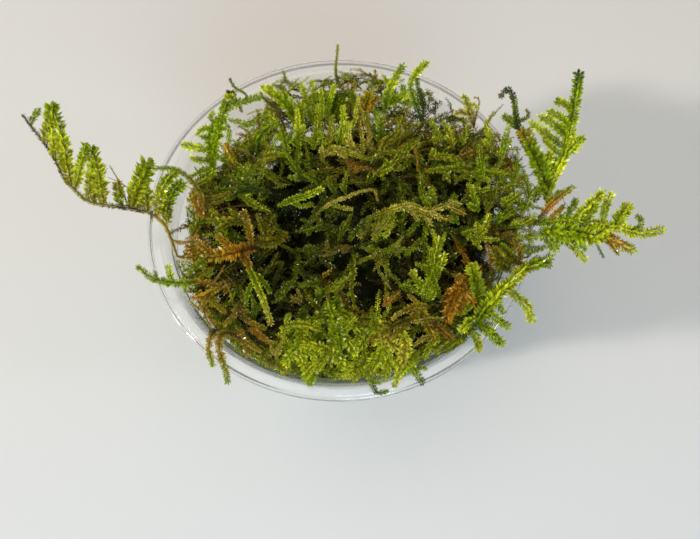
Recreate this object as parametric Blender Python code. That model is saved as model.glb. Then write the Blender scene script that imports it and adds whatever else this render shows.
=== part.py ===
# A clump of feathery green moss heaped in a small clear plastic portion cup.
# Sizes are in millimetres, and turned into metres as each mesh is made.
# The cup stands on Z = 0 with its middle on the Z axis. +X is to the right and +Y is away from the viewer.
import math

import bmesh
import bpy
from mathutils import Vector

MM = 0.001

# The cup
RIM_RADIUS = 37.5
CUP_HEIGHT = 41.0
BASE_RADIUS = 26.4
WALL = 0.6
FLOOR_THICKNESS = 0.7
FLOOR_RISE = 1.4
FOOT_ROUNDING = 0.8
LEDGE_HEIGHT = 33.4
LEDGE_RADIUS = 31.3
COLLAR_RADIUS = 33.3
COLLAR_FOOT = 0.2
FLANGE_START = 34.6
BEAD_DROP = 1.4
EDGE_ROUNDING = 0.3
CUP_SIDES = 40

# The mat of moss inside the cup
TANGLE_SIDES = 36
TANGLE_FLOOR = 1.2
TANGLE_LOWER = 12.0
TANGLE_WAIST = 22.0
TANGLE_SHOULDER = 32.0
TANGLE_BRIM = 41.6
TANGLE_RINGS = (0.95, 0.84, 0.74, 0.64, 0.54, 0.44, 0.34, 0.24, 0.12)
TANGLE_CENTRE = 46.5
TANGLE_FALL = 6.5
TANGLE_TILT = 0.05
TANGLE_EDGE = 32.2
TANGLE_GAP = 0.5
LUMP_SIZE = 0.6
BACK_FALL = 1.8
LEFT_GAP = 0.15
LEFT_GAP_ANGLE = 180.0
LEFT_GAP_SPREAD = 50.0
LOOP_GAP = 0.24
LOOP_GAP_ANGLE = 138.0
LOOP_GAP_SPREAD = 34.0
SHOULDER = 5.4
SHOULDER_ANGLE = 6.0
SHOULDER_SPREAD = 56.0
OVERHANG = 3.2
OVERHANG_SPREAD = 34.0
HOLLOW = (-9.5, -7.5)
HOLLOW_REACH = 7.5
HOLLOW_DEPTH = 7.5

# The shoots
SEGMENT = 2.4
CURVE_STEPS = 12
STEM_WIDTH = 2.2
BRANCH_WIDTH = 1.9
BRANCH_FOOT = 0.4
BRANCH_BOW = 0.06
THICKNESS = 0.9
TIP_SHARE = 0.42
TIP_THICKNESS = 0.6
ROOT_LIFT = 0.95
MAT_ROOT_LIFT = 1.25
ARCH_LIFT = 1.3
SIDE_BOW = 0.8
FORWARD_LEAN = 0.8
BRANCH_LIFT = 0.4
MAT_BRANCHES = ((0.25, 1.0), (0.62, 0.8))
TOWARDS_VIEWER = Vector((0.0, -0.5, 0.87))

BRIGHT = (0.24, 0.36, 0.03)
GREEN = (0.12, 0.22, 0.025)
DEEP = (0.05, 0.11, 0.02)
YELLOW = (0.42, 0.36, 0.06)
BROWN = (0.26, 0.13, 0.035)
RUST = (0.33, 0.12, 0.03)

# Fronds that stand clear of the mat. Each has the points of its stem from root to tip, and its side
# branches as (place along the stem from 0 to 1, tip of the branch). A root without a height lies on the mat.
EDGE_FRONDS = {
    "frond_left_long": {
        "colour": BRIGHT,
        "stem": [
            (-29.0, -7.4, 38.0), (-31.0, -6.2, 42.8), (-34.2, -3.6, 46.6), (-39.0, -2.8, 48.2),
            (-43.4, -2.2, 49.2), (-47.2, -0.8, 50.2), (-50.7, 3.0, 51.2), (-53.2, 7.6, 52.0),
            (-56.0, 11.6, 52.8), (-59.0, 15.4, 53.0),
        ],
        "branches": [
            (0.15, (-28.6, 1.0, 50.0)), (0.26, (-31.6, 3.2, 52.0)), (0.35, (-35.4, 4.6, 53.0)),
            (0.44, (-40.2, 4.2, 53.5)), (0.53, (-43.4, 6.2, 55.0)), (0.62, (-46.4, 8.0, 56.0)),
            (0.72, (-50.2, 12.2, 57.0)), (0.83, (-53.4, 14.8, 56.0)), (0.58, (-51.0, -1.6, 49.6)),
        ],
    },
    "frond_left_small": {
        "colour": GREEN,
        "stem": [(-26.4, -13.0), (-29.0, -15.2, 44.4), (-32.4, -15.8, 45.4), (-36.8, -13.6, 46.0)],
        "branches": [(0.45, (-33.0, -12.6, 46.6)), (0.7, (-36.4, -17.4, 45.2))],
    },
    "frond_front_left_outer": {
        "colour": BROWN,
        "stem": [(-21.8, -21.2, 43.0), (-22.8, -25.6, 43.6), (-23.2, -28.6, 43.0), (-23.2, -31.4, 41.8)],
        "branches": [(0.4, (-26.2, -25.6, 43.2))],
    },
    "frond_front_left_inner": {
        "colour": BROWN,
        "stem": [(-19.4, -23.6), (-20.0, -27.0, 43.9), (-20.0, -30.6, 43.9), (-19.8, -34.4, 43.0)],
        "branches": [(0.45, (-17.2, -29.4, 43.8))],
    },
    "frond_front_drip_left": {
        "colour": GREEN,
        "stem": [(-4.8, -28.6), (-5.6, -31.6, 43.8), (-6.2, -34.8, 42.9)],
        "branches": [(0.5, (-9.0, -33.0, 43.0))],
    },
    "frond_front_drip_middle": {
        "colour": GREEN,
        "stem": [(3.2, -28.4), (4.0, -31.6, 43.9), (4.6, -34.6, 43.2), (7.2, -36.6, 42.6)],
        "branches": [(0.4, (0.9, -33.6, 43.2))],
    },
    "frond_front_drip_right": {
        "colour": BRIGHT,
        "stem": [(10.0, -27.6), (11.4, -31.2, 43.8), (12.4, -33.6, 43.2), (13.8, -35.8, 42.6)],
        "branches": [(0.35, (8.6, -33.8, 43.2)), (0.5, (15.4, -32.4, 43.2))],
    },
    "frond_right_low": {
        "colour": BRIGHT,
        "stem": [(29.0, -12.6), (29.6, -18.6, 46.0), (26.6, -22.0, 45.6), (22.4, -25.6, 44.4)],
        "branches": [
            (0.28, (34.4, -24.6, 43.6)), (0.5, (30.4, -27.0, 43.4)), (0.72, (26.6, -29.4, 43.2)),
            (0.95, (22.4, -30.6, 43.0)),
        ],
    },
    "frond_right_long": {
        "colour": BRIGHT,
        "stem": [
            (33.4, -5.0), (37.6, -5.4, 46.2), (42.5, -6.5, 46.8), (47.6, -7.8, 47.4),
            (52.8, -9.2, 47.6), (58.7, -9.4, 47.4),
        ],
        "branches": [
            (0.36, (46.4, -1.8, 51.0)), (0.54, (50.0, -3.4, 51.0)), (0.7, (53.2, -4.8, 50.0)),
            (0.84, (56.2, -6.4, 49.0)), (0.2, (39.6, -12.0, 44.0)), (0.42, (46.4, -13.0, 43.0)),
            (0.64, (52.4, -13.0, 44.0)), (0.86, (57.0, -12.4, 45.6)),
        ],
    },
    "frond_right_twig": {
        "colour": BROWN,
        "stem": [(34.2, -1.6), (38.0, -2.2, 47.6), (42.4, -1.2, 51.0)],
        "branches": [(0.4, (40.0, 1.0, 51.0))],
    },
    "frond_right_feather": {
        "colour": BRIGHT,
        "stem": [
            (34.0, 1.4), (37.8, 1.0, 46.4), (40.4, 2.0, 47.6), (42.0, 4.2, 49.8), (43.0, 6.6, 52.6),
            (43.5, 9.2, 55.6), (43.0, 11.6, 58.6), (43.2, 15.0, 62.0),
        ],
        "branches": [
            (0.42, (36.4, 9.8, 55.6)), (0.52, (37.4, 11.6, 57.2)), (0.64, (39.2, 12.6, 58.8)),
            (0.8, (41.0, 15.0, 61.0)), (0.5, (46.2, 8.0, 53.6)),
        ],
    },
    "frond_right_feather_left": {
        "colour": BRIGHT,
        "stem": [(33.8, 4.4), (37.0, 4.2, 46.8), (37.8, 5.2, 49.4), (36.0, 7.4, 52.2), (33.8, 9.0, 54.4)],
        "branches": [(0.5, (33.2, 5.6, 51.6))],
    },
    "frond_back_hook": {
        "colour": GREEN,
        "width": 1.5,
        "stem": [
            (30.4, 9.2), (33.0, 10.6, 45.4), (34.6, 11.8, 48.4), (33.9, 12.8, 51.8),
            (33.0, 13.9, 54.8), (31.8, 14.9, 57.2), (29.8, 14.8, 57.6),
        ],
        "branches": [(0.55, (36.2, 13.2, 55.0)), (0.35, (30.6, 13.8, 50.6))],
    },
    "frond_back_brown": {
        "colour": BROWN,
        "width": 1.2,
        "stem": [(26.8, 15.2), (27.8, 17.4, 45.4), (28.2, 19.0, 50.2)],
        "branches": [],
    },
    "frond_back_small": {
        "colour": YELLOW,
        "stem": [(24.4, 16.6), (25.2, 18.6, 45.6), (24.6, 19.8, 49.6)],
        "branches": [(0.45, (22.0, 19.6, 48.0))],
    },
    "frond_back_twin": {
        "colour": GREEN,
        "width": 1.3,
        "stem": [
            (17.0, 17.0), (16.0, 18.6, 46.5), (14.4, 19.2, 50.0), (13.8, 19.6, 53.0),
            (14.6, 20.2, 55.8), (16.8, 21.2, 58.2),
        ],
        "branches": [],
    },
    "frond_back_twin_strand": {
        "colour": DEEP,
        "width": 1.1,
        "stem": [(19.0, 17.4), (17.6, 19.3, 46.6), (17.0, 19.4, 50.0), (16.2, 19.9, 52.4), (16.2, 20.2, 54.4)],
        "branches": [],
    },
    "frond_back_fork": {
        "colour": BRIGHT,
        "stem": [(9.0, 18.4), (9.6, 20.6, 47.5), (10.4, 21.8, 51.0), (12.4, 22.4, 56.2)],
        "branches": [(0.45, (8.2, 22.8, 54.6)), (0.2, (12.2, 19.6, 51.6))],
    },
    "frond_back_orange": {
        "colour": BROWN,
        "stem": [(5.2, 17.4), (5.6, 19.6, 47.0), (6.4, 20.8, 50.8)],
        "branches": [(0.4, (3.9, 21.4, 50.6))],
    },
    "frond_back_twigs": {
        "colour": BROWN,
        "width": 1.1,
        "stem": [(2.4, 20.0), (2.2, 22.0, 47.0), (2.2, 23.6, 50.8)],
        "branches": [],
    },
    "frond_back_needle": {
        "colour": DEEP,
        "width": 1.2,
        "stem": [(-1.2, 19.0), (-1.0, 21.6, 47.0), (-0.3, 22.9, 51.6), (0.1, 24.0, 56.0), (0.4, 25.1, 59.4)],
        "branches": [],
    },
    "frond_back_fan": {
        "colour": BRIGHT,
        "stem": [(-4.8, 17.4), (-4.9, 20.2, 47.4), (-4.7, 22.8, 51.4)],
        "branches": [(0.35, (-7.6, 22.2, 51.2)), (0.45, (-2.6, 23.4, 52.2))],
    },
    "frond_back_left_band": {
        "colour": BRIGHT,
        "stem": [(-8.8, 16.6), (-10.2, 18.8, 47.0), (-12.0, 19.8, 50.6), (-14.4, 20.4, 53.0)],
        "branches": [(0.6, (-11.6, 22.0, 53.4))],
    },
    "frond_back_left_loop": {
        "colour": GREEN,
        "width": 1.5,
        "stem": [
            (-19.4, 11.4), (-21.6, 13.2, 46.6), (-22.0, 14.2, 50.4), (-20.6, 15.0, 54.0), (-17.8, 15.2, 56.2),
            (-15.0, 15.4, 56.0), (-12.6, 15.4, 54.0), (-11.2, 14.8, 50.4), (-10.4, 13.4, 46.8),
        ],
        "branches": [(0.46, (-19.4, 17.8, 59.0)), (0.36, (-22.6, 17.0, 56.4))],
    },
    "frond_back_left_comb": {
        "colour": GREEN,
        "stem": [(-17.4, 8.2, 45.0), (-21.4, 9.0, 46.8), (-23.4, 9.6, 49.0), (-25.4, 11.2, 52.0)],
        "branches": [(0.5, (-29.2, 9.2, 50.4)), (0.3, (-27.8, 6.6, 48.4))],
    },
    "frond_left_arch": {
        "colour": BROWN,
        "width": 0.9,
        "stem": [(-25.0, 1.6), (-27.4, 3.0, 47.0), (-28.8, 2.9, 51.6), (-31.0, 2.4, 54.8), (-33.6, 1.8, 55.6)],
        "branches": [],
    },
}

# Fronds that lie on the mat, as root, heading in degrees from +X, length, and the reach of the branches,
# which is 0 on a strand without branches.
MAT_FRONDS = {
    "shoot_orange_left": (BROWN, (-17.6, -9.6), 178.0, 11.5, 2.8),
    "shoot_green_left": (BRIGHT, (-14.8, -15.6), -80.0, 10.5, 2.2),
    "shoot_light_blade": (YELLOW, (-3.4, 0.2), 192.0, 8.4, 0.0),
    "shoot_pale_strand": (YELLOW, (-1.8, -3.6), 8.0, 9.2, 0.0),
    "shoot_yellow_curve": (YELLOW, (6.8, -7.6), 6.0, 16.0, 3.0),
    "shoot_front_middle": (BRIGHT, (-1.0, -12.4), -92.0, 15.0, 3.4),
    "shoot_front_fan_left": (BRIGHT, (-7.6, -15.0), -96.0, 12.5, 2.8),
    "shoot_front_fan_right": (BRIGHT, (6.4, -16.0), -80.0, 11.5, 2.6),
    "shoot_front_right": (GREEN, (13.0, -13.2), -66.0, 13.0, 3.2),
    "shoot_rust_right": (RUST, (22.6, -9.4), -84.0, 9.0, 2.4),
    "shoot_right_upper": (GREEN, (22.0, 2.2), 4.0, 12.0, 3.0),
    "shoot_right_middle": (GREEN, (24.8, -5.8), -32.0, 9.0, 2.2),
    "shoot_back_middle": (GREEN, (2.4, 4.4), 92.0, 12.5, 3.4),
    "shoot_back_right": (GREEN, (10.2, 3.4), 72.0, 12.0, 3.2),
    "shoot_back_far_right": (GREEN, (17.6, 4.8), 46.0, 12.0, 2.8),
    "shoot_back_left": (GREEN, (-6.2, 3.6), 122.0, 9.0, 2.8),
    "shoot_left_upper": (DEEP, (-13.0, 1.6), 172.0, 10.5, 2.6),
    "shoot_left_middle": (DEEP, (-15.6, -4.0), 176.0, 10.5, 2.0),
    "shoot_left_lower": (BROWN, (-19.6, -15.6), 200.0, 8.0, 1.8),
}


def clear_scene():
    for item in list(bpy.data.objects):
        bpy.data.objects.remove(item, do_unlink=True)


def plain_material(name, colour, roughness, alpha=1.0):
    material = bpy.data.materials.new(name)
    material.use_nodes = True
    shader = material.node_tree.nodes["Principled BSDF"]
    shader.inputs["Base Color"].default_value = (*colour, 1.0)
    shader.inputs["Roughness"].default_value = roughness
    shader.inputs["Metallic"].default_value = 0.0
    shader.inputs["Alpha"].default_value = alpha
    return material


def make_object(name, points, faces, material, smooth=False):
    """Builds one closed mesh object from points in millimetres."""
    mesh = bpy.data.meshes.new(name)
    shape = bmesh.new()
    corners = [shape.verts.new(Vector(point) * MM) for point in points]
    for face in faces:
        shape.faces.new([corners[index] for index in face])
    bmesh.ops.recalc_face_normals(shape, faces=shape.faces[:])
    if shape.calc_volume(signed=True) < 0.0:
        bmesh.ops.reverse_faces(shape, faces=shape.faces[:])
    shape.to_mesh(mesh)
    shape.free()
    if smooth:
        mesh.shade_smooth()
        mesh.set_sharp_from_angle(angle=math.radians(35.0))
    mesh.materials.append(material)
    item = bpy.data.objects.new(name, mesh)
    bpy.context.collection.objects.link(item)
    return item


def turned(profile, sides):
    """Points and faces of a profile turned about Z. Its first and last points lie on the axis."""
    points = [(0.0, 0.0, profile[0][1])]
    for radius, height in profile[1:-1]:
        for step in range(sides):
            angle = math.tau * step / sides
            points.append((radius * math.cos(angle), radius * math.sin(angle), height))
    points.append((0.0, 0.0, profile[-1][1]))
    rings = len(profile) - 2
    return points, ring_faces(rings, sides, closed_ends=True)


def ring_faces(rings, sides, closed_ends):
    """Faces between rings of points that start at index 1, with a middle point before and after them."""
    faces = []
    last = rings * sides + 1
    for step in range(sides):
        following = (step + 1) % sides
        if closed_ends:
            faces.append((0, 1 + following, 1 + step))
            faces.append((last, last - sides + step, last - sides + following))
        for ring in range(rings - 1):
            lower = 1 + ring * sides
            upper = lower + sides
            faces.append((lower + step, lower + following, upper + following, upper + step))
    return faces


def cup_profile():
    """The cup's section as (radius, height): out along the base, up the wall, round the bead and back inside."""
    bead_inside = RIM_RADIUS - WALL
    bead_foot = CUP_HEIGHT - BEAD_DROP
    return [
        (0.0, 0.0),
        (BASE_RADIUS, 0.0),
        (BASE_RADIUS + FOOT_ROUNDING, FOOT_ROUNDING),
        (LEDGE_RADIUS + WALL, LEDGE_HEIGHT - WALL),
        (COLLAR_RADIUS, LEDGE_HEIGHT + COLLAR_FOOT),
        (COLLAR_RADIUS + WALL, bead_foot),
        (FLANGE_START + EDGE_ROUNDING, CUP_HEIGHT - WALL),
        (bead_inside, CUP_HEIGHT - WALL),
        (bead_inside, bead_foot),
        (RIM_RADIUS, bead_foot),
        (RIM_RADIUS, CUP_HEIGHT - EDGE_ROUNDING),
        (RIM_RADIUS - EDGE_ROUNDING, CUP_HEIGHT),
        (FLANGE_START, CUP_HEIGHT),
        (COLLAR_RADIUS, bead_foot + EDGE_ROUNDING),
        (COLLAR_RADIUS - WALL, LEDGE_HEIGHT + COLLAR_FOOT + WALL),
        (LEDGE_RADIUS, LEDGE_HEIGHT),
        (BASE_RADIUS, FLOOR_RISE),
        (BASE_RADIUS - WALL, FLOOR_THICKNESS),
        (0.0, FLOOR_THICKNESS),
    ]


def make_cup():
    points, faces = turned(cup_profile(), CUP_SIDES)
    material = plain_material("clear_plastic", (0.9, 0.92, 0.92), 0.12, 0.35)
    return make_object("cup", points, faces, material, smooth=True)


def bump(angle, middle, spread):
    """1 at the middle angle, falling smoothly to 0 at the spread on either side, in degrees."""
    away = abs((angle - middle + 180.0) % 360.0 - 180.0)
    return 0.5 + 0.5 * math.cos(math.pi * min(away / spread, 1.0))


def moss_top(x, y):
    """Height of the mat's top over the base: a dome with lumps, a shoulder over the rim and a hollow."""
    share = math.hypot(x, y) / TANGLE_EDGE
    fall = TANGLE_FALL * share ** 2.2
    shoulder = SHOULDER * bump(math.degrees(math.atan2(y, x)), SHOULDER_ANGLE, SHOULDER_SPREAD) * share ** 2
    back = BACK_FALL * (max(y, 0.0) / TANGLE_EDGE) ** 2
    lumps = LUMP_SIZE * math.sin(0.33 * x + 0.8) * math.cos(0.29 * y - 0.4)
    away = math.hypot(x - HOLLOW[0], y - HOLLOW[1])
    hollow = HOLLOW_DEPTH * math.exp(-(away / HOLLOW_REACH) ** 2)
    return TANGLE_CENTRE - fall + shoulder - back - TANGLE_TILT * y + lumps - hollow


def lying_on_mat(spot, lift=ROOT_LIFT):
    return (spot[0], spot[1], moss_top(spot[0], spot[1]) + lift)


def cup_inside(height):
    """Radius of the cup's wall on the inside at a height under the ledge."""
    slope = (LEDGE_RADIUS - BASE_RADIUS) / (LEDGE_HEIGHT - FLOOR_RISE)
    return BASE_RADIUS + slope * (height - FLOOR_RISE)


def tangle_column(angle):
    """The mat's outline at one angle as (radius, height), from the bottom up and in over the top."""
    narrow = 1.0 - LEFT_GAP * bump(angle, LEFT_GAP_ANGLE, LEFT_GAP_SPREAD)
    narrow -= LOOP_GAP * bump(angle, LOOP_GAP_ANGLE, LOOP_GAP_SPREAD)
    out = OVERHANG * bump(angle, SHOULDER_ANGLE, OVERHANG_SPREAD)
    turn = math.radians(angle)
    edge = TANGLE_EDGE * narrow + out
    edge_height = moss_top(edge * math.cos(turn), edge * math.sin(turn))
    column = [
        (cup_inside(TANGLE_FLOOR) - TANGLE_GAP, TANGLE_FLOOR),
        (cup_inside(TANGLE_LOWER) - TANGLE_GAP, TANGLE_LOWER),
        ((cup_inside(TANGLE_WAIST) - TANGLE_GAP) * (0.7 + 0.3 * narrow), TANGLE_WAIST),
        ((cup_inside(TANGLE_SHOULDER) - TANGLE_GAP) * narrow, LEDGE_HEIGHT + COLLAR_FOOT),
        (TANGLE_EDGE * narrow, LEDGE_HEIGHT + 1.5),
        (TANGLE_EDGE * narrow + 0.15 * out, min(edge_height - 1.3, TANGLE_BRIM)),
        (edge, edge_height - 0.5),
    ]
    for share in TANGLE_RINGS:
        radius = edge * share
        column.append((radius, moss_top(radius * math.cos(turn), radius * math.sin(turn))))
    return column


def make_tangle():
    columns = [tangle_column(360.0 * step / TANGLE_SIDES) for step in range(TANGLE_SIDES)]
    rings = len(columns[0])
    points = [(0.0, 0.0, TANGLE_FLOOR)]
    for ring in range(rings):
        for step, column in enumerate(columns):
            angle = math.tau * step / TANGLE_SIDES
            radius, height = column[ring]
            points.append((radius * math.cos(angle), radius * math.sin(angle), height))
    points.append((0.0, 0.0, moss_top(0.0, 0.0)))
    faces = ring_faces(rings, TANGLE_SIDES, closed_ends=True)
    return make_object("moss_tangle", points, faces, plain_material("deep_moss", DEEP, 0.8), smooth=True)


def between(a, b, c, d, share):
    """A point of the smooth curve from b to c, with a and d as the points before and after."""
    square = share * share
    cube = square * share
    return 0.5 * (
        2.0 * b + (c - a) * share + (2.0 * a - 5.0 * b + 4.0 * c - d) * square
        + (3.0 * b - a - 3.0 * c + d) * cube
    )


def smooth_route(points):
    """The route through the points as a smooth line, cut into equal segments about SEGMENT long."""
    stops = [Vector(point) for point in points]
    padded = [2.0 * stops[0] - stops[1]] + stops + [2.0 * stops[-1] - stops[-2]]
    line = []
    for index in range(len(stops) - 1):
        line += [between(*padded[index:index + 4], step / CURVE_STEPS) for step in range(CURVE_STEPS)]
    line.append(stops[-1])
    reach = [0.0]
    for before, after in zip(line, line[1:]):
        reach.append(reach[-1] + (after - before).length)
    count = max(3, round(reach[-1] / SEGMENT))
    return [point_at(line, reach, reach[-1] * step / count) for step in range(count + 1)]


def point_at(line, reach, distance):
    for index in range(len(line) - 1):
        if reach[index + 1] >= distance or index == len(line) - 2:
            share = (distance - reach[index]) / (reach[index + 1] - reach[index])
            return line[index].lerp(line[index + 1], min(share, 1.0))
    return line[-1]


def across(direction, facing):
    """The unit vectors to the right of a direction and out of the frond's flat side."""
    flat = (facing - direction * facing.dot(direction)).normalized()
    return direction.cross(flat), flat


def section(centre, side, flat, width, size):
    """The four corners of a stem or branch at a point where it has a size from 0 to 1."""
    half = side * (width * size / 2.0)
    rise = flat * (THICKNESS * (TIP_THICKNESS + (1.0 - TIP_THICKNESS) * size) / 2.0)
    return [centre - half + rise, centre + half + rise, centre + half - rise, centre - half - rise]


def make_frond(name, route, branches, colour, width=STEM_WIDTH, facing=TOWARDS_VIEWER):
    """One flat stem along the route, with flat side branches grown out of its edges."""
    middle = smooth_route(route)
    last = len(middle) - 1
    points, faces, rings = [], [], []
    for index, centre in enumerate(middle):
        ahead = (middle[min(index + 1, last)] - middle[max(index - 1, 0)]).normalized()
        right, flat = across(ahead, facing)
        rings.append(len(points))
        points += section(centre, right, flat, width, 1.0 - (1.0 - TIP_SHARE) * (index / last) ** 2)
    taken = grow_branches(middle, rings, points, faces, branches, width, facing)
    for index in range(last):
        a, b = rings[index], rings[index + 1]
        faces += [(a, a + 1, b + 1, b), (a + 2, a + 3, b + 3, b + 2)]
        if (index, "right") not in taken:
            faces.append((a + 1, a + 2, b + 2, b + 1))
        if (index, "left") not in taken:
            faces.append((a + 3, a, b, b + 3))
    faces.append((0, 1, 2, 3))
    faces.append(tuple(rings[last] + corner for corner in range(4)))
    shade = plain_material(name + "_leaves", colour, 0.6)
    return make_object(name, points, faces, shade)


def grow_branches(middle, rings, points, faces, branches, width, facing):
    """Adds each branch to the lists and returns the stem faces that branches have taken."""
    taken = set()
    last = len(middle) - 1
    for place, tip in branches:
        tip = Vector(tip)
        segment = min(int(place * last), last - 1)
        ahead = (middle[segment + 1] - middle[segment]).normalized()
        right, _ = across(ahead, facing)
        foot = (middle[segment] + middle[segment + 1]) / 2.0
        side = "right" if (tip - foot).dot(right) > 0.0 else "left"
        while (segment, side) in taken:
            segment += 1
        taken.add((segment, side))
        a, b = rings[segment], rings[segment + 1]
        start = (a + 1, b + 1, b + 2, a + 2) if side == "right" else (a, b, b + 3, a + 3)
        foot += (right if side == "right" else -right) * (width * BRANCH_FOOT)
        add_branch(points, faces, start, foot, tip, ahead, facing, min(width, BRANCH_WIDTH))
    return taken


def add_branch(points, faces, start, foot, tip, ahead, facing, width):
    direction = (tip - foot).normalized()
    _, flat = across(direction, facing)
    front = direction.cross(flat)
    front = front if front.dot(ahead) > 0.0 else -front
    bow = -front * (BRANCH_BOW * (tip - foot).length)
    loop = start
    for share, size in ((0.5, 1.0), (1.0, TIP_SHARE)):
        centre = foot.lerp(tip, share) + bow * (4.0 * share * (1.0 - share))
        first = len(points)
        points += section(centre, front, flat, width, size)
        ring = tuple(range(first, first + 4))
        for corner in range(4):
            following = (corner + 1) % 4
            faces.append((loop[corner], loop[following], ring[following], ring[corner]))
        loop = ring
    faces.append(loop)


def mat_frond(root, heading, length, spread):
    """Stem and branch points of a frond that lies on the mat, lifted to follow its top."""
    turn = math.radians(heading)
    ahead = Vector((math.cos(turn), math.sin(turn)))
    aside = Vector((-ahead.y, ahead.x))
    stem = []
    for step in range(5):
        share = step / 4.0
        spot = Vector(root) + ahead * (length * share) + aside * (SIDE_BOW * math.sin(math.pi * share))
        lift = MAT_ROOT_LIFT + ARCH_LIFT * math.sin(math.pi * min(share, 0.7))
        stem.append(lying_on_mat(spot, lift))
    branches = []
    if spread == 0.0:
        return stem, branches
    for place, share in MAT_BRANCHES:
        for side in (-1.0, 1.0):
            foot = Vector(root) + ahead * (length * place)
            spot = foot + (aside * side + ahead * FORWARD_LEAN) * (spread * share)
            branches.append((place, lying_on_mat(spot, MAT_ROOT_LIFT + BRANCH_LIFT)))
    return stem, branches


def main():
    clear_scene()
    make_cup()
    make_tangle()
    for name, frond in EDGE_FRONDS.items():
        width = frond.get("width", STEM_WIDTH)
        root, *rest = frond["stem"]
        root = root if len(root) == 3 else lying_on_mat(root)
        make_frond(name, [root, *rest], frond["branches"], frond["colour"], width)
    for name, (colour, root, heading, length, spread) in MAT_FRONDS.items():
        stem, branches = mat_frond(root, heading, length, spread)
        make_frond(name, stem, branches, colour)


main()
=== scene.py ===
import math
import random

import bmesh
import bpy
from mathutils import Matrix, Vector, noise


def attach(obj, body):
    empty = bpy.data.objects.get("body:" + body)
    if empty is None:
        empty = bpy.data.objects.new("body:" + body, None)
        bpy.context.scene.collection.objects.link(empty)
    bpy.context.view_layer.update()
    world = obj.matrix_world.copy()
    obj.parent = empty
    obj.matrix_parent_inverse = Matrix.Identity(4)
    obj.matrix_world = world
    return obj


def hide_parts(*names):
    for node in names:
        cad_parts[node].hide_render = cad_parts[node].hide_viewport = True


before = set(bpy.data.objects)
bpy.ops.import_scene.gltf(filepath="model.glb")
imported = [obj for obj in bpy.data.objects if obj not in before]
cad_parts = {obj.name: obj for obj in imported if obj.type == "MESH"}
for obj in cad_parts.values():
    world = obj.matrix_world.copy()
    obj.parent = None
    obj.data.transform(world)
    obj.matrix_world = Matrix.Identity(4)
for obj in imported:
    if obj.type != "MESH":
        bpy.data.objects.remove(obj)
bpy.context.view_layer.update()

mm = 0.001
tiny = 1e-6
pointStep = 0.6  # millimetres between the points of a shoot's line
fineStep = 0.5
up = Vector((0.0, 0.0, 1.0))
towardsViewer = Vector((0.0, -0.5, 0.87))

# colours of the moss, as linear values
palette = {
    "spring": (0.43, 0.47, 0.014),
    "leaf": (0.215, 0.282, 0.004),
    "deep": (0.048, 0.078, 0.003),
    "olive": (0.25, 0.215, 0.008),
    "straw": (0.46, 0.385, 0.045),
    "bark": (0.070, 0.047, 0.010),
    "rust": (0.41, 0.195, 0.010),
    "tan": (0.33, 0.225, 0.015),
}


def mixed(a, b, share):
    return tuple(x + (y - x) * share for x, y in zip(a, b))


def dimmed(tints, amount):
    return [tuple(value * amount for value in tint) for tint in tints]


def clamped(value, low=0.0, high=1.0):
    return min(max(value, low), high)


def onCircle(radius, turn, height=0.0):
    return Vector((radius * math.cos(turn), radius * math.sin(turn), height))


def angleOf(point):
    return math.degrees(math.atan2(point.y, point.x))


def placed(name, data):
    item = bpy.data.objects.new(name, data)
    bpy.context.scene.collection.objects.link(item)
    return item


def between(a, b, c, d, share):
    # a point on the smooth curve from b to c, which a leads up to and d follows
    square = share * share
    cube = square * share
    return 0.5 * (2.0 * b + (c - a) * share + (2.0 * a - 5.0 * b + 4.0 * c - d) * square
                  + (3.0 * b - a - 3.0 * c + d) * cube)


def smoothRoute(points, step=pointStep, fine=10):
    # points of a smooth curve through the route, in millimetres, at even steps
    stops = [Vector(point) for point in points]
    padded = [2.0 * stops[0] - stops[1]] + stops + [2.0 * stops[-1] - stops[-2]]
    line = []
    for index in range(len(stops) - 1):
        line += [between(*padded[index:index + 4], part / fine) for part in range(fine)]
    line.append(stops[-1])
    reach = [0.0]
    for before, after in zip(line, line[1:]):
        reach.append(reach[-1] + (after - before).length)
    count = max(2, round(reach[-1] / step))
    route = []
    index = 0
    for part in range(count + 1):
        distance = reach[-1] * part / count
        while index < len(line) - 2 and reach[index + 1] < distance:
            index += 1
        share = (distance - reach[index]) / max(reach[index + 1] - reach[index], tiny)
        route.append(line[index].lerp(line[index + 1], min(share, 1.0)))
    return route


# The cup, in millimetres

cup = {
    "rimRadius": 37.5, "height": 41.0, "baseRadius": 26.4, "ledgeHeight": 33.4, "ledgeRadius": 31.3,
    "collarRadius": 33.3, "flangeStart": 34.6, "floorRise": 1.4, "sides": 192,
}


def cupInside(height):
    slope = (cup["ledgeRadius"] - cup["baseRadius"]) / (cup["ledgeHeight"] - cup["floorRise"])
    return cup["baseRadius"] + slope * (height - cup["floorRise"])


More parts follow.
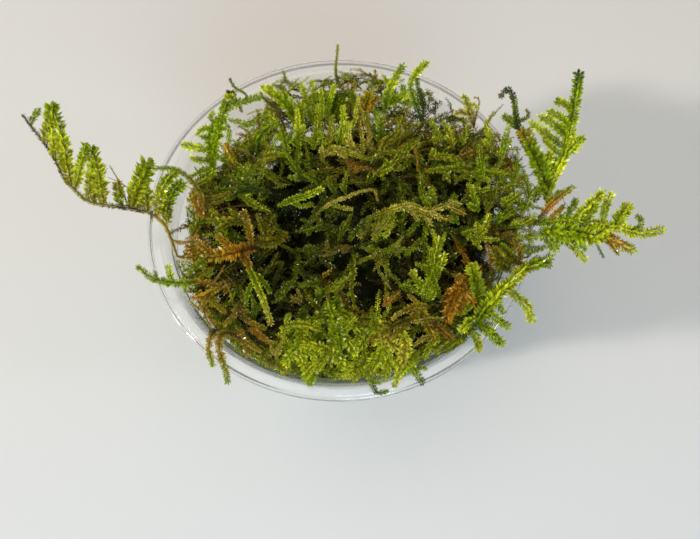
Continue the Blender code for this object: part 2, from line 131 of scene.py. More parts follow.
def cupSection():
    # the section as (radius, height): out under the base, up the wall, round the lip and back inside
    rim, top = cup["rimRadius"], cup["height"]
    base, ledge, step = cup["baseRadius"], cup["ledgeRadius"], cup["ledgeHeight"]
    collar, flange = cup["collarRadius"], cup["flangeStart"]
    outside = [
        (0.0, 0.45), (base - 4.4, 0.45), (base - 3.9, 0.25), (base - 3.5, 0.0), (base - 0.9, 0.0),
        (base - 0.3, 0.15), (base + 0.15, 0.5), (base + 0.4, 1.1),
        (ledge + 0.35, step - 1.4), (ledge + 0.5, step - 0.8), (ledge + 0.9, step - 0.4),
        (collar - 0.3, step - 0.1), (collar + 0.05, step + 0.2), (collar + 0.2, step + 0.8),
        (collar + 0.5, top - 2.0), (collar + 0.7, top - 1.2), (flange + 0.1, top - 0.7),
        (rim - 1.1, top - 0.6), (rim - 0.75, top - 0.75), (rim - 0.6, top - 1.2),
        (rim - 0.4, top - 1.4), (rim - 0.15, top - 1.35),
    ]
    inside = [
        (rim, top - 1.1), (rim, top - 0.45), (rim - 0.12, top - 0.15), (rim - 0.45, top),
        (flange + 1.1, top), (flange + 0.8, top - 0.12), (flange + 0.4, top - 0.12),
        (flange + 0.1, top), (flange - 0.5, top - 0.1), (collar + 0.3, top - 0.6),
        (collar + 0.05, top - 1.3), (collar - 0.3, step + 1.6), (collar - 0.45, step + 0.9),
        (collar - 0.8, step + 0.65), (ledge + 0.5, step + 0.3), (ledge + 0.1, step - 0.1),
        (ledge - 0.05, step - 0.7), (base + 0.05, 1.9), (base - 0.2, 1.25), (base - 0.9, 0.9), (0.0, 0.95),
    ]
    return outside + inside


def closedSkin(name, rings):
    # a smooth skin over rings of points in metres; the first and last ring lie on one spot
    sides = len(rings[0])
    faces = []
    for low in range(0, sides * (len(rings) - 1), sides):
        for part in range(sides):
            following = (part + 1) % sides
            faces.append((low + part, low + following, low + sides + following, low + sides + part))
    mesh = bpy.data.meshes.new(name)
    mesh.from_pydata([point for ring in rings for point in ring], [], faces)
    shape = bmesh.new()
    shape.from_mesh(mesh)
    bmesh.ops.remove_doubles(shape, verts=shape.verts[:], dist=0.02 * mm)
    bmesh.ops.recalc_face_normals(shape, faces=shape.faces[:])
    shape.to_mesh(mesh)
    shape.free()
    mesh.shade_smooth()
    return placed(name, mesh)


def cupSkin():
    turns = [math.tau * part / cup["sides"] for part in range(cup["sides"])]
    rings = []
    for radius, height in cupSection():
        rings.append([(radius * math.cos(turn) * mm, radius * math.sin(turn) * mm, height * mm)
                      for turn in turns])
    return closedSkin("clearCup", rings)


# Nodes, for the materials and the leaf tree

def feed(tree, node, inputs):
    # links each input to another node's output, or sets it to a plain value or a colour
    for key, value in inputs.items():
        socket = node.inputs[key]
        if isinstance(value, bpy.types.NodeSocket):
            tree.links.new(value, socket)
        elif socket.type == "RGBA":
            socket.default_value = (*value, 1.0)
        else:
            socket.default_value = value


def addNode(tree, kind, inputs, **settings):
    node = tree.nodes.new(kind)
    for setting, value in settings.items():
        setattr(node, setting, value)
    feed(tree, node, inputs)
    return node


def mathOf(tree, operation, *values):
    return addNode(tree, "ShaderNodeMath", dict(enumerate(values)), operation=operation).outputs["Value"]


def vectorOf(tree, operation, *values):
    node = addNode(tree, "ShaderNodeVectorMath", dict(enumerate(values)), operation=operation)
    return node.outputs["Vector"]


def scaled(tree, vector, amount):
    inputs = {0: vector, "Scale": amount}
    return addNode(tree, "ShaderNodeVectorMath", inputs, operation="SCALE").outputs["Vector"]


def newMaterial(name):
    material = bpy.data.materials.new(name)
    material.use_nodes = True
    tree = material.node_tree
    place = tree.nodes.new("ShaderNodeTexCoord").outputs["Object"]
    return material, tree, place


def attribute(tree, name, output):
    return addNode(tree, "ShaderNodeAttribute", {}, attribute_name=name).outputs[output]


def noiseAt(tree, place, scale, detail=4.0, roughness=0.6):
    inputs = {"Vector": place, "Scale": scale, "Detail": detail, "Roughness": roughness}
    return addNode(tree, "ShaderNodeTexNoise", inputs).outputs["Fac"]


def ranged(tree, source, given, wanted):
    # the given range of the source stretched to the wanted one, and clamped at its ends
    inputs = {"Value": source, "From Min": given[0], "From Max": given[1],
              "To Min": wanted[0], "To Max": wanted[1]}
    return addNode(tree, "ShaderNodeMapRange", inputs).outputs["Result"]


def overlaid(tree, factor, under, over):
    return addNode(tree, "ShaderNodeMix", {0: factor, 6: under, 7: over}, data_type="RGBA").outputs[2]


def normalFrom(tree, height, strength, distance):
    inputs = {"Strength": strength, "Distance": distance, "Height": height}
    return addNode(tree, "ShaderNodeBump", inputs).outputs["Normal"]


def axisOf(tree, place, axis):
    return addNode(tree, "ShaderNodeSeparateXYZ", {"Vector": place}).outputs[axis]


def setSurface(tree, look, colour, height, others={}):
    # the colour, the look's gloss, and a bump that follows the height
    inputs = {"Base Color": colour, "Roughness": look["roughness"], "Specular IOR Level": look["specular"],
              "Normal": normalFrom(tree, height, *look["bump"])}
    feed(tree, tree.nodes["Principled BSDF"], {**inputs, **others})


# Materials: a pair is the range that a pattern is stretched to, and a bump is (strength, depth in metres).
# Most of a noise pattern lies between 0.3 and 0.7.

leafFinish = {
    "leafToLeaf": (0.6, 1.36), "paintedFootShadeTipLight": (0.42, 1.5),
    "mottleScale": 1900.0, "mottle": (0.54, 1.52), "broadScale": 260.0, "broad": (0.72, 1.24),
    "dryScale": 130.0, "dryFrom": (0.56, 0.74), "dry": (0.0, 0.4),
    "glintLeaves": (0.97, 0.98), "glintTip": (0.45, 0.7), "paintedGlint": (0.0, 0.85), "glintColour": (0.78, 0.80, 0.52),
    "roughness": 0.5, "mottleRoughness": (0.36, 0.6), "specular": 0.08, "bump": (0.35, 0.0002),
    "coat": 0.18, "coatRoughness": 0.09,
}


def leafMaterial():
    # damp leaves: the shoot's own tint, with painted shade at each leaf's foot, a paler tip as painted light,
    # cell-like mottling and a few painted glints
    material, tree, place = newMaterial("dampLeaves")
    shade = attribute(tree, "leafShade", "Fac")
    tipward = attribute(tree, "tipward", "Fac")
    mottle = noiseAt(tree, place, leafFinish["mottleScale"], 2.0)
    broad = noiseAt(tree, place, leafFinish["broadScale"], 2.0)
    # painted shade and light on each leaf: darker at its foot, paler towards its tip
    brightness = mathOf(tree, "MULTIPLY", ranged(tree, shade, (0.0, 1.0), leafFinish["leafToLeaf"]),
                        ranged(tree, tipward, (0.0, 1.0), leafFinish["paintedFootShadeTipLight"]))
    for pattern, name in ((mottle, "mottle"), (broad, "broad")):
        brightness = mathOf(tree, "MULTIPLY", brightness, ranged(tree, pattern, (0.3, 0.7), leafFinish[name]))
    colour = scaled(tree, attribute(tree, "tint", "Color"), brightness)
    dry = ranged(tree, noiseAt(tree, place, leafFinish["dryScale"]), leafFinish["dryFrom"], leafFinish["dry"])
    colour = overlaid(tree, dry, colour, palette["olive"])
    # painted glints: a few leaf tips are painted pale, a painted highlight where wet leaves catch the light
    paintedGlint = mathOf(tree, "MULTIPLY", ranged(tree, shade, leafFinish["glintLeaves"], (0.0, 1.0)),
                 ranged(tree, tipward, leafFinish["glintTip"], leafFinish["paintedGlint"]))
    setSurface(tree, leafFinish, overlaid(tree, paintedGlint, colour, leafFinish["glintColour"]), mottle, {
        "Roughness": ranged(tree, mottle, (0.3, 0.7), leafFinish["mottleRoughness"]),
        "Coat Weight": leafFinish["coat"],
        "Coat Roughness": leafFinish["coatRoughness"],
    })
    return material


stemFinish = {
    "bark": 0.4, "ringScale": 1400.0, "worn": (0.0, 0.35),
    "roughness": 0.5, "specular": 0.3, "bump": (0.5, 0.0001),
}


def stemMaterial():
    material, tree, place = newMaterial("thinStems")
    rings = noiseAt(tree, place, stemFinish["ringScale"], 3.0)
    dark = overlaid(tree, stemFinish["bark"], attribute(tree, "tint", "Color"), palette["bark"])
    worn = ranged(tree, rings, (0.35, 0.7), stemFinish["worn"])
    setSurface(tree, stemFinish, overlaid(tree, worn, dark, palette["bark"]), rings)
    return material


coreFinish = {
    "clumpScale": 260.0, "strandScale": 900.0,
    "pressed": ((0.020, 0.026, 0.003), (0.10, 0.105, 0.010)),  # against the wall
    "deep": ((0.003, 0.005, 0.001), (0.014, 0.016, 0.002)),  # painted shade, near black, under the heap, from these heights up
    "paintedShadeFrom": (0.030, 0.036),
    "roughness": 0.8, "specular": 0.1, "bump": (0.8, 0.0006),
}


def coreMaterial():
    # the heart of the mat: rotted stems and dark leaves pressed together, painted near black under the heap
    # as painted shade
    material, tree, place = newMaterial("packedMossAndShade")
    lump = ranged(tree, noiseAt(tree, place, coreFinish["clumpScale"], 6.0, 0.7), (0.35, 0.7), (0.0, 1.0))
    high = ranged(tree, axisOf(tree, place, "Z"), coreFinish["paintedShadeFrom"], (0.0, 1.0))
    colour = overlaid(tree, high, overlaid(tree, lump, *coreFinish["pressed"]),
                      overlaid(tree, lump, *coreFinish["deep"]))
    strands = addNode(tree, "ShaderNodeTexVoronoi", {"Scale": coreFinish["strandScale"], "Vector": place})
    setSurface(tree, coreFinish, colour, strands.outputs["Distance"])
    return material


cupFinish = {
    "colour": (0.965, 0.975, 0.975), "clear": 0.97, "ior": 1.46,
    "shadow": 0.06,  # the thin wall lets most of the light through to the floor
    "hazeScale": 420.0, "haze": (0.03, 0.12), "waveScale": 120.0,
    "roughness": 0.1, "specular": 0.5, "bump": (0.15, 0.0004),
}


def cupMaterial():
    material, tree, place = newMaterial("clearPlastic")
    waves = noiseAt(tree, place, cupFinish["waveScale"], 2.0)
    haze = noiseAt(tree, place, cupFinish["hazeScale"], 5.0)
    shadowRay = tree.nodes.new("ShaderNodeLightPath").outputs["Is Shadow Ray"]
    setSurface(tree, cupFinish, cupFinish["colour"], waves, {
        "Roughness": ranged(tree, haze, (0.4, 0.75), cupFinish["haze"]),
        "Transmission Weight": cupFinish["clear"],
        "IOR": cupFinish["ior"],
        "Alpha": ranged(tree, shadowRay, (0.0, 1.0), (1.0, cupFinish["shadow"])),
    })
    return material


# Shoots: each is a thin stem with small leaves all along it. Lengths are in millimetres, and the leaf's own
# measures are shares of its length.

shoots = {
    "stemStep": 1.0,
    "stemRadius": 0.11,
    "stemTaper": 0.65,
    "flatness": 0.6,
    "matLeafWidth": 0.38,
    "frondLeafWidth": 0.33,
    "leafWidest": 0.58,
    "leafFold": 0.1,
    "leafCurl": 0.1,
    "footLeaf": 0.55,  # the first leaf's size, what the next ones gain, and the share of the shoot it takes
    "footGain": 0.45,
    "fullFrom": 0.25,
    "taper": 0.55,  # the last leaf's size, and where and how quickly the leaves shrink to it
    "taperFrom": 0.35,
    "taperPower": 1.6,
}

# How each leaf stands: the jitters in radians, the rest as shares
leafStand = {
    "turnJitter": (-0.4, 0.4), "leanJitter": (-0.2, 0.26), "size": (0.5, 1.04), "footOut": (0.0, 0.16),
    "lift": 0.35, "forward": 0.45, "wobble": 0.3,
    "smallest": 0.0001,  # metres; shorter leaves are left out, as on the bare stems
}


def leafBlade(name, width):
    # a leaf folded along its middle, 1 long from foot to tip along Y, with its place along the leaf kept for
    # the material
    half, widest = width / 2.0, shoots["leafWidest"]
    fold, curl = shoots["leafFold"], shoots["leafCurl"]
    points = [(0.0, 0.0, 0.0), (half, widest, fold), (0.0, 1.0, curl), (-half, widest, fold)]
    mesh = bpy.data.meshes.new(name)
    mesh.from_pydata(points, [], [(0, 1, 2), (0, 2, 3)])
    tipward = mesh.attributes.new("tipward", "FLOAT", "POINT")
    leafy = mesh.attributes.new("leafy", "FLOAT", "POINT")
    for index, point in enumerate(points):
        tipward.data[index].value = point[1]
        leafy.data[index].value = 1.0
    return placed(name, mesh)


def named(tree, name, kind="FLOAT"):
    inputs = {"Name": name}
    return addNode(tree, "GeometryNodeInputNamedAttribute", inputs, data_type=kind).outputs["Attribute"]


def randomOf(tree, low, high, seed, stream):
    # a random number for each point, or a random vector where the limits are vectors
    isVector = isinstance(low, tuple)
    first, kind = (0, "FLOAT_VECTOR") if isVector else (2, "FLOAT")
    inputs = {first: low, first + 1: high, "Seed": mathOf(tree, "ADD", seed, 100 * stream)}
    node = addNode(tree, "FunctionNodeRandomValue", inputs, data_type=kind)
    return node.outputs[0 if isVector else 1]


def remainder(tree, share):
    return mathOf(tree, "SUBTRACT", 1.0, share)


def resampled(tree, curve, length):
    inputs = {"Curve": curve, "Length": length}
    return addNode(tree, "GeometryNodeResampleCurve", inputs, mode="LENGTH").outputs["Curve"]


def moreThan(tree, value, limit):
    node = addNode(tree, "FunctionNodeCompare", {0: value, 1: limit}, data_type="FLOAT",
                   operation="GREATER_THAN")
    return node.outputs["Result"]


def leafyTree():
    # turns lines with the attributes leaf, stem, ahead, facing, flatness and tint into leafy shoots
    tree = bpy.data.node_groups.new("leafyShoots", "GeometryNodeTree")
    sockets = {"Lines": "Geometry", "Leaf": "Object", "Leaf spacing": "Float", "Stem step": "Float",
               "Spread": "Float", "Seed": "Int", "Stem sides": "Int", "Leaf material": "Material",
               "Stem material": "Material"}
    for name, kind in sockets.items():
        tree.interface.new_socket(name, in_out="INPUT", socket_type="NodeSocket" + kind)
    tree.interface.new_socket("Shoots", in_out="OUTPUT", socket_type="NodeSocketGeometry")
    given = tree.nodes.new("NodeGroupInput").outputs
    seed = given["Seed"]
    curve = addNode(tree, "GeometryNodeMeshToCurve", {"Mesh": given["Lines"]}).outputs["Curve"]

    # four rows of leaves: two spread out sideways, and those above and below lie closer along the stem
    ahead, facing = named(tree, "ahead", "FLOAT_VECTOR"), named(tree, "facing", "FLOAT_VECTOR")
    flatness, leaf = named(tree, "flatness"), named(tree, "leaf")
    index = tree.nodes.new("GeometryNodeInputIndex").outputs["Index"]
    jitter = randomOf(tree, *leafStand["turnJitter"], seed, 1)
    turn = mathOf(tree, "MULTIPLY_ADD", index, math.pi / 2.0, jitter)
    sideways = mathOf(tree, "COSINE", turn)
    across = scaled(tree, vectorOf(tree, "CROSS_PRODUCT", ahead, facing), sideways)
    outward = vectorOf(tree, "ADD", across, scaled(tree, facing, mathOf(tree, "SINE", turn)))
    pressed = mathOf(tree, "MULTIPLY", flatness, remainder(tree, mathOf(tree, "ABSOLUTE", sideways)))
    free = remainder(tree, pressed)
    lean = mathOf(tree, "ADD", mathOf(tree, "MULTIPLY", given["Spread"], free),
                  randomOf(tree, *leafStand["leanJitter"], seed, 2))
    growth = vectorOf(tree, "ADD", scaled(tree, ahead, mathOf(tree, "COSINE", lean)),
                      scaled(tree, outward, mathOf(tree, "SINE", lean)))
    upright = vectorOf(tree, "ADD", scaled(tree, facing, mathOf(tree, "ADD", flatness, leafStand["lift"])),
                       scaled(tree, ahead, leafStand["forward"]))
    wobble = leafStand["wobble"]
    upright = vectorOf(tree, "ADD", upright, randomOf(tree, (-wobble,) * 3, (wobble,) * 3, seed, 3))
    axes = {"Primary Axis": growth, "Secondary Axis": upright}
    rotation = addNode(tree, "FunctionNodeAxesToRotation", axes, primary_axis="Y", secondary_axis="Z")

    # the leaves overlap, so that most of them start a little way out over the one before
    out = mathOf(tree, "MULTIPLY", leaf, randomOf(tree, *leafStand["footOut"], seed, 5))
    feet = addNode(tree, "GeometryNodeSetPosition", {
        "Geometry": resampled(tree, curve, given["Leaf spacing"]),
        "Offset": scaled(tree, outward, mathOf(tree, "MULTIPLY", out, free)),
    })
    blade = addNode(tree, "GeometryNodeObjectInfo", {"As Instance": True, "Object": given["Leaf"]})
    blades = addNode(tree, "GeometryNodeInstanceOnPoints", {
        "Points": feet.outputs["Geometry"],
        "Instance": blade.outputs["Geometry"],
        "Rotation": rotation.outputs["Rotation"],
        "Scale": mathOf(tree, "MULTIPLY", leaf, randomOf(tree, *leafStand["size"], seed, 4)),
        "Selection": moreThan(tree, leaf, leafStand["smallest"]),
    })
    toned = addNode(tree, "GeometryNodeStoreNamedAttribute", {
        "Geometry": blades.outputs["Instances"],
        "Name": "leafShade",
        "Value": randomOf(tree, 0.0, 1.0, seed, 6),
    }, data_type="FLOAT", domain="INSTANCE")

    ring = {"Resolution": given["Stem sides"], "Radius": 1.0}
    stem = addNode(tree, "GeometryNodeCurveToMesh", {
        "Curve": resampled(tree, curve, given["Stem step"]),
        "Profile Curve": addNode(tree, "GeometryNodeCurvePrimitiveCircle", ring).outputs["Curve"],
        "Scale": named(tree, "stem"),
        "Fill Caps": True,
    })

    joined = addNode(tree, "GeometryNodeJoinGeometry", {"Geometry": toned.outputs["Geometry"]})
    feed(tree, joined, {"Geometry": stem.outputs["Mesh"]})
    real = addNode(tree, "GeometryNodeRealizeInstances", {"Geometry": joined.outputs["Geometry"]})
    stems = addNode(tree, "GeometryNodeSetMaterial", {
        "Geometry": real.outputs["Geometry"],
        "Material": given["Stem material"],
    })
    leaves = addNode(tree, "GeometryNodeSetMaterial", {
        "Geometry": stems.outputs["Geometry"],
        "Material": given["Leaf material"],
        "Selection": moreThan(tree, named(tree, "leafy"), 0.5),
    })
    addNode(tree, "NodeGroupOutput", {"Shoots": leaves.outputs["Geometry"]})
    return tree


def makeStrand(route, leaf, tints, facing, stem=shoots["stemRadius"], taper=shoots["taper"],
               step=pointStep):
    # route in millimetres from root to tip; tints is a list of colours from root to tip
    line = smoothRoute(route, step)
    last = len(line) - 1
    strand = {"points": line, "leaf": [], "stem": [], "tint": [], "ahead": [], "facing": []}
    for index in range(last + 1):
        share = index / last
        ahead = (line[min(index + 1, last)] - line[max(index - 1, 0)]).normalized()
        flat = facing - ahead * facing.dot(ahead)
        if flat.length < 0.05:  # the stem points straight at the facing side
            flat = ahead.orthogonal()
        swell = shoots["footLeaf"] + shoots["footGain"] * min(share / shoots["fullFrom"], 1.0)
        late = max((share - shoots["taperFrom"]) / (1.0 - shoots["taperFrom"]), 0.0)
        shrink = 1.0 - (1.0 - taper) * late ** shoots["taperPower"]
        strand["leaf"].append(leaf * swell * shrink)
        strand["stem"].append(stem * (1.0 - shoots["stemTaper"] * share))
        place = share * (len(tints) - 1)
        first = min(int(place), len(tints) - 2)
        strand["tint"].append(mixed(tints[first], tints[first + 1], place - first))
        strand["ahead"].append(ahead)
        strand["facing"].append(flat.normalized())
    return strand


def linesMesh(name, strands):
    points, edges = [], []
    values = {key: [] for key in ("leaf", "stem", "flatness")}
    vectors = {key: [] for key in ("ahead", "facing", "tint")}
    for strand in strands:
        first = len(points)
        count = len(strand["points"])
        points += [tuple(point * mm) for point in strand["points"]]
        edges += [(first + index, first + index + 1) for index in range(count - 1)]
        for key in ("leaf", "stem"):
            values[key] += [size * mm for size in strand[key]]
        values["flatness"] += [shoots["flatness"]] * count
        for key in vectors:
            for vector in strand[key]:
                vectors[key] += list(vector)
    mesh = bpy.data.meshes.new(name)
    mesh.from_pydata(points, edges, [])
    for key, numbers in values.items():
        mesh.attributes.new(key, "FLOAT", "POINT").data.foreach_set("value", numbers)
    for key, numbers in vectors.items():
        mesh.attributes.new(key, "FLOAT_VECTOR", "POINT").data.foreach_set("vector", numbers)
    return mesh


def socketOf(tree, name):
    return next(item.identifier for item in tree.interface.items_tree if item.name == name)


def leafyPiece(name, strands, look, seed=1, stemSides=3):
    # grows the leaves along the strands as the look says, and keeps the result as a plain mesh
    lines = linesMesh(name, strands)
    item = placed(name, lines)
    modifier = item.modifiers.new("leaves", "NODES")
    tree = tools["tree"]
    modifier.node_group = tree
    settings = {
        "Leaf": tools[look["blade"]],
        "Leaf spacing": look["leafSpacing"] * mm,
        "Stem step": shoots["stemStep"] * mm,
        "Spread": math.radians(look["spread"]),
        "Seed": seed,
        "Stem sides": stemSides,
        "Leaf material": tools["leaves"],
        "Stem material": tools["stems"],
    }
    for label, value in settings.items():
        modifier[socketOf(tree, label)] = value
    evaluated = item.evaluated_get(bpy.context.evaluated_depsgraph_get())
    mesh = bpy.data.meshes.new_from_object(evaluated)
    item.modifiers.clear()
    item.data = mesh
    mesh.name = name
    bpy.data.meshes.remove(lines)
    for key in ("ahead", "facing", "leaf", "stem", "flatness", "leafy"):
        if key in mesh.attributes:
            mesh.attributes.remove(mesh.attributes[key])
    return item


tools = {
    "tree": leafyTree(),
    "matLeaf": leafBlade("matLeaf", shoots["matLeafWidth"]),
    "frondLeaf": leafBlade("frondLeaf", shoots["frondLeafWidth"]),
    "leaves": leafMaterial(),
    "stems": stemMaterial(),
}
print("materials and the leaf tree are ready")


# The mat's form, as the solid has it, with a hollow left of the middle. Gaps, the shoulder and the overhang
# are (amount, angle in degrees from +X, reach in degrees), and the hollow is (x, y, reach, depth).

mat = {
    "centre": 46.5, "fall": 6.5, "fallPower": 2.2, "tilt": 0.05, "edge": 32.2, "gap": 0.5, "lump": 0.6,
    "lumpWaves": ((0.33, 0.8), (0.29, -0.4)), "backFall": 1.8, "leftGap": (0.15, 180.0, 50.0),
    "loopGap": (0.24, 138.0, 34.0), "shoulder": (5.4, 6.0, 56.0), "overhang": (3.2, 6.0, 34.0),
    "hollow": (-9.5, -7.5, 7.5, 7.5), "relief": 2.2, "reliefSize": 6.0, "reliefSlice": 3.7, "floor": 3.2,
    "narrowFrom": 12.0, "narrowRise": 20.0, "wallTop": 32.0,
}


def bump(angle, middle, spread):
    away = abs((angle - middle + 180.0) % 360.0 - 180.0)
    return 0.5 + 0.5 * math.cos(math.pi * min(away / spread, 1.0))


def swollen(form, angle):
    amount, middle, spread = form
    return amount * bump(angle, middle, spread)


def solidTop(x, y):
    share = math.hypot(x, y) / mat["edge"]
    shoulder = swollen(mat["shoulder"], math.degrees(math.atan2(y, x))) * share ** 2
    back = mat["backFall"] * (max(y, 0.0) / mat["edge"]) ** 2
    (stretchX, shiftX), (stretchY, shiftY) = mat["lumpWaves"]
    lumps = mat["lump"] * math.sin(stretchX * x + shiftX) * math.cos(stretchY * y + shiftY)
    hollowX, hollowY, reach, depth = mat["hollow"]
    hollow = depth * math.exp(-(math.hypot(x - hollowX, y - hollowY) / reach) ** 2)
    fall = mat["fall"] * share ** mat["fallPower"]
    return mat["centre"] - fall + shoulder - back - mat["tilt"] * y + lumps - hollow


def matTop(x, y):
    spot = Vector((x, y, mat["reliefSlice"])) / mat["reliefSize"]
    return solidTop(x, y) + mat["relief"] * noise.noise(spot)


def matNarrow(angle):
    return 1.0 - swollen(mat["leftGap"], angle) - swollen(mat["loopGap"], angle)


def matEdge(angle):
    return mat["edge"] * matNarrow(angle) + swollen(mat["overhang"], angle)


def matRadius(angle, height):
    # the mat's outer radius at a height below its brim
    share = clamped((height - mat["narrowFrom"]) / mat["narrowRise"])
    narrow = 1.0 - (1.0 - matNarrow(angle)) * share
    if height < cup["ledgeHeight"]:
        return (cupInside(min(height, mat["wallTop"])) - mat["gap"]) * narrow
    return mat["edge"] * narrow


# How far the moss keeps from the cup, in millimetres
room = {
    "clear": 0.8, "belowLedge": 0.6, "wallTop": 32.6, "collarGap": 0.4, "overBrim": 0.4, "flare": 1.2,
    "rimReach": 33.5, "overRim": 0.9,
}


def heldIn(point, clear=room["clear"]):
    # keeps a point of the mat inside the cup's wall, off its floor and over its rim
    height = max(point.z, mat["floor"])
    reach = math.hypot(point.x, point.y)
    if height < cup["ledgeHeight"] + room["belowLedge"]:
        free = cupInside(min(height, room["wallTop"])) - clear
    elif height < cup["height"] + room["overBrim"]:
        free = cup["collarRadius"] - room["collarGap"] - clear
        free += max(0.0, height - cup["height"] + room["flare"])
    else:
        lowest = cup["height"] + room["overRim"] if reach > room["rimReach"] else height
        return Vector((point.x, point.y, max(height, lowest)))
    share = min(1.0, free / max(reach, tiny))
    return Vector((point.x * share, point.y * share, height))


# Patches of colour on the mat: middle, reach, the two tints from foot to tip, and how strongly they show
patches = [
    ((4.0, -27.0), 12.0, ("leaf", "spring"), 0.95),
    ((-19.0, -24.0), 9.0, ("bark", "olive"), 0.8),
    ((-26.0, -10.0), 7.0, ("tan", "olive"), 0.7),
    ((-20.0, -3.5), 5.0, ("rust", "tan"), 0.75),
    ((22.5, -14.5), 4.5, ("rust", "rust"), 0.95),
    ((9.0, -18.0), 7.0, ("bark", "tan"), 0.7),
    ((2.0, 14.0), 9.0, ("bark", "tan"), 0.65),
    ((14.0, 15.0), 7.0, ("rust", "olive"), 0.55),
    ((34.0, -3.0), 5.0, ("tan", "olive"), 0.6),
    ((-9.0, 17.0), 8.0, ("leaf", "spring"), 0.6),
    ((24.0, 6.0), 10.0, ("leaf", "spring"), 0.45),
    ((9.0, -6.0), 12.0, ("deep", "leaf"), 0.75),
    # the darkest tints lie in the hollow: darker wet moss, and painted shade
    ((-8.0, -4.0), 10.0, ("deep", "deep"), 0.8),
]

# Painted shade and light: the mat's tints are darker towards the middle, where it lies deep between the
# shoots, and lighter at the back, where light comes through.
paintedShading = {
    "light": 0.95, "dark": 0.52, "middle": (1.0, -6.0), "reach": 13.0, "paintedBackLight": 0.24, "backFrom": 2.0,
    "backReach": 14.0,
}

tinting = {
    "noiseScale": 0.11, "barkLeast": 0.25, "barkMore": 0.5, "tipMiddle": 0.3, "tipSpread": 0.25,
    "oddTips": 0.16, "oddNames": ["olive", "tan", "olive", "rust"], "footShare": 0.8, "tipShare": 0.85,
    "shade": (0.55, 1.35), "halfway": 0.55,
}


# a factor of painted shade and painted light for the tints at a spot on the mat
def paintedShadeAt(x, y):
    middleX, middleY = paintedShading["middle"]
    away = math.hypot(x - middleX, y - middleY) / paintedShading["reach"]
    back = clamped((y - paintedShading["backFrom"]) / paintedShading["backReach"])
    return paintedShading["light"] - paintedShading["dark"] * math.exp(-away ** 2) + paintedShading["paintedBackLight"] * back


def patchTints(point, rng):
    spot = Vector(point)
    lean = 0.5 + 0.5 * noise.noise(spot * tinting["noiseScale"])
    foot = mixed(palette["deep"], palette["bark"], tinting["barkLeast"] + tinting["barkMore"] * lean)
    bright = clamped(rng.gauss(tinting["tipMiddle"], tinting["tipSpread"]))
    tip = mixed(palette["leaf"], palette["spring"], bright)
    if rng.random() < tinting["oddTips"]:
        tip = palette[rng.choice(tinting["oddNames"])]
    for (x, y), reach, (footTint, tipTint), strength in patches:
        near = math.exp(-((spot.x - x) ** 2 + (spot.y - y) ** 2) / reach ** 2) * strength
        if rng.random() < near:
            foot = mixed(foot, palette[footTint], tinting["footShare"])
            tip = mixed(tip, palette[tipTint], tinting["tipShare"])
    # the tints take painted shade towards the middle of the mat and painted light at its back
    foot, tip = dimmed((foot, tip), rng.uniform(*tinting["shade"]) * paintedShadeAt(spot.x, spot.y))
    return [foot, mixed(foot, tip, tinting["halfway"]), tip, tip]


branching = {
    "stem": 0.1, "start": 0.12, "end": 0.94, "profile": (0.12, 0.86, 0.97, 0.7), "stray": (-0.2, 0.2),
    "lean": 50.0, "leanJitter": 9.0, "lift": (-0.15, 0.25), "size": (0.75, 1.15), "bendAt": 0.55,
    "bendAhead": 0.02, "tipAhead": 0.16,
}


def sideShoots(line, pitch, reach, facing, leaf, tints, rng):
    # pinnate branches that alternate along a line of points half a millimetre apart or so, longest midway
    made = []
    offset, stretch, last, power = branching["profile"]
    length = sum((after - before).length for before, after in zip(line, line[1:]))
    count = int(length * (branching["end"] - branching["start"]) / pitch)
    for number in range(count):
        share = branching["start"] + (number + rng.uniform(*branching["stray"])) * pitch / length
        index = clamped(int(share * (len(line) - 1)), 1, len(line) - 2)
        ahead = (line[index + 1] - line[index - 1]).normalized()
        flat = (facing - ahead * facing.dot(ahead)).normalized()
        side = ahead.cross(flat) * (1.0 if number % 2 else -1.0)
        swing = math.radians(rng.gauss(branching["lean"], branching["leanJitter"]))
        heading = ahead * math.cos(swing) + side * math.sin(swing) + flat * rng.uniform(*branching["lift"])
        size = reach * math.sin(math.pi * min(offset + share * stretch, last)) ** power
        size *= rng.uniform(*branching["size"])
        foot = line[index]
        bend = foot + heading * (size * branching["bendAt"]) + ahead * (size * branching["bendAhead"])
        tip = foot + heading * size + ahead * (size * branching["tipAhead"])
        route = [foot, heldIn(bend), heldIn(tip)]
        made.append(makeStrand(route, leaf, tints[-3:], flat, branching["stem"], step=fineStep))
    return made


def chosen(rng, wanted):
    # a fixed value, or a random one from a range
    return rng.uniform(*wanted) if isinstance(wanted, tuple) else wanted


def branched(points, leaf, tints, facing, rng, look, **form):
    # a shoot along the points, with side shoots on both sides
    shoot = makeStrand(points, leaf, tints, facing, **form)
    pitch, reach = chosen(rng, look["sidePitch"]), chosen(rng, look["sideReach"])
    smooth = smoothRoute(points)
    return [shoot] + sideShoots(smooth, pitch, reach, facing, leaf * look["sideLeaf"], tints, rng)


print("mat form is ready")


# The mat's shoots. A pair is the range of a random value, in millimetres or degrees where it has a unit.

matLook = {"blade": "matLeaf", "leafSpacing": 0.084, "spread": 62.0}
wallLook = {"blade": "matLeaf", "leafSpacing": 0.105, "spread": 62.0}

# Dark gaps between the top shoots, as (x, y, reach).
gaps = [
    (-9.0, -7.5, 7.5), (12.5, -9.0, 3.2), (21.5, 0.5, 2.4), (17.5, -13.5, 2.2), (4.0, -19.5, 2.4),
    (12.0, -15.5, 2.6), (-15.0, -22.5, 2.2), (-9.5, -21.5, 2.8), (-10.5, 0.0, 2.8), (11.5, 1.0, 3.4),
    (0.0, -6.0, 3.0), (2.0, -13.0, 2.4),
]


def crossesGap(points):
    for x, y, reach in gaps:
        if any(math.hypot(point.x - x, point.y - y) < reach for point in points):
            return True
    return False


walk = {
    "steps": 9, "reach": 0.97, "swing": 75.0, "bend": 0.07, "wander": 0.13, "length": (8.0, 19.0),
    "arch": (0.2, 2.8),
    "rise": (0.3, 1.5),  # the middle and the spread of a random value
    "backRise": 3.4, "backFrom": 4.0, "edgeGap": 0.2, "edgeDrop": 0.9,
}


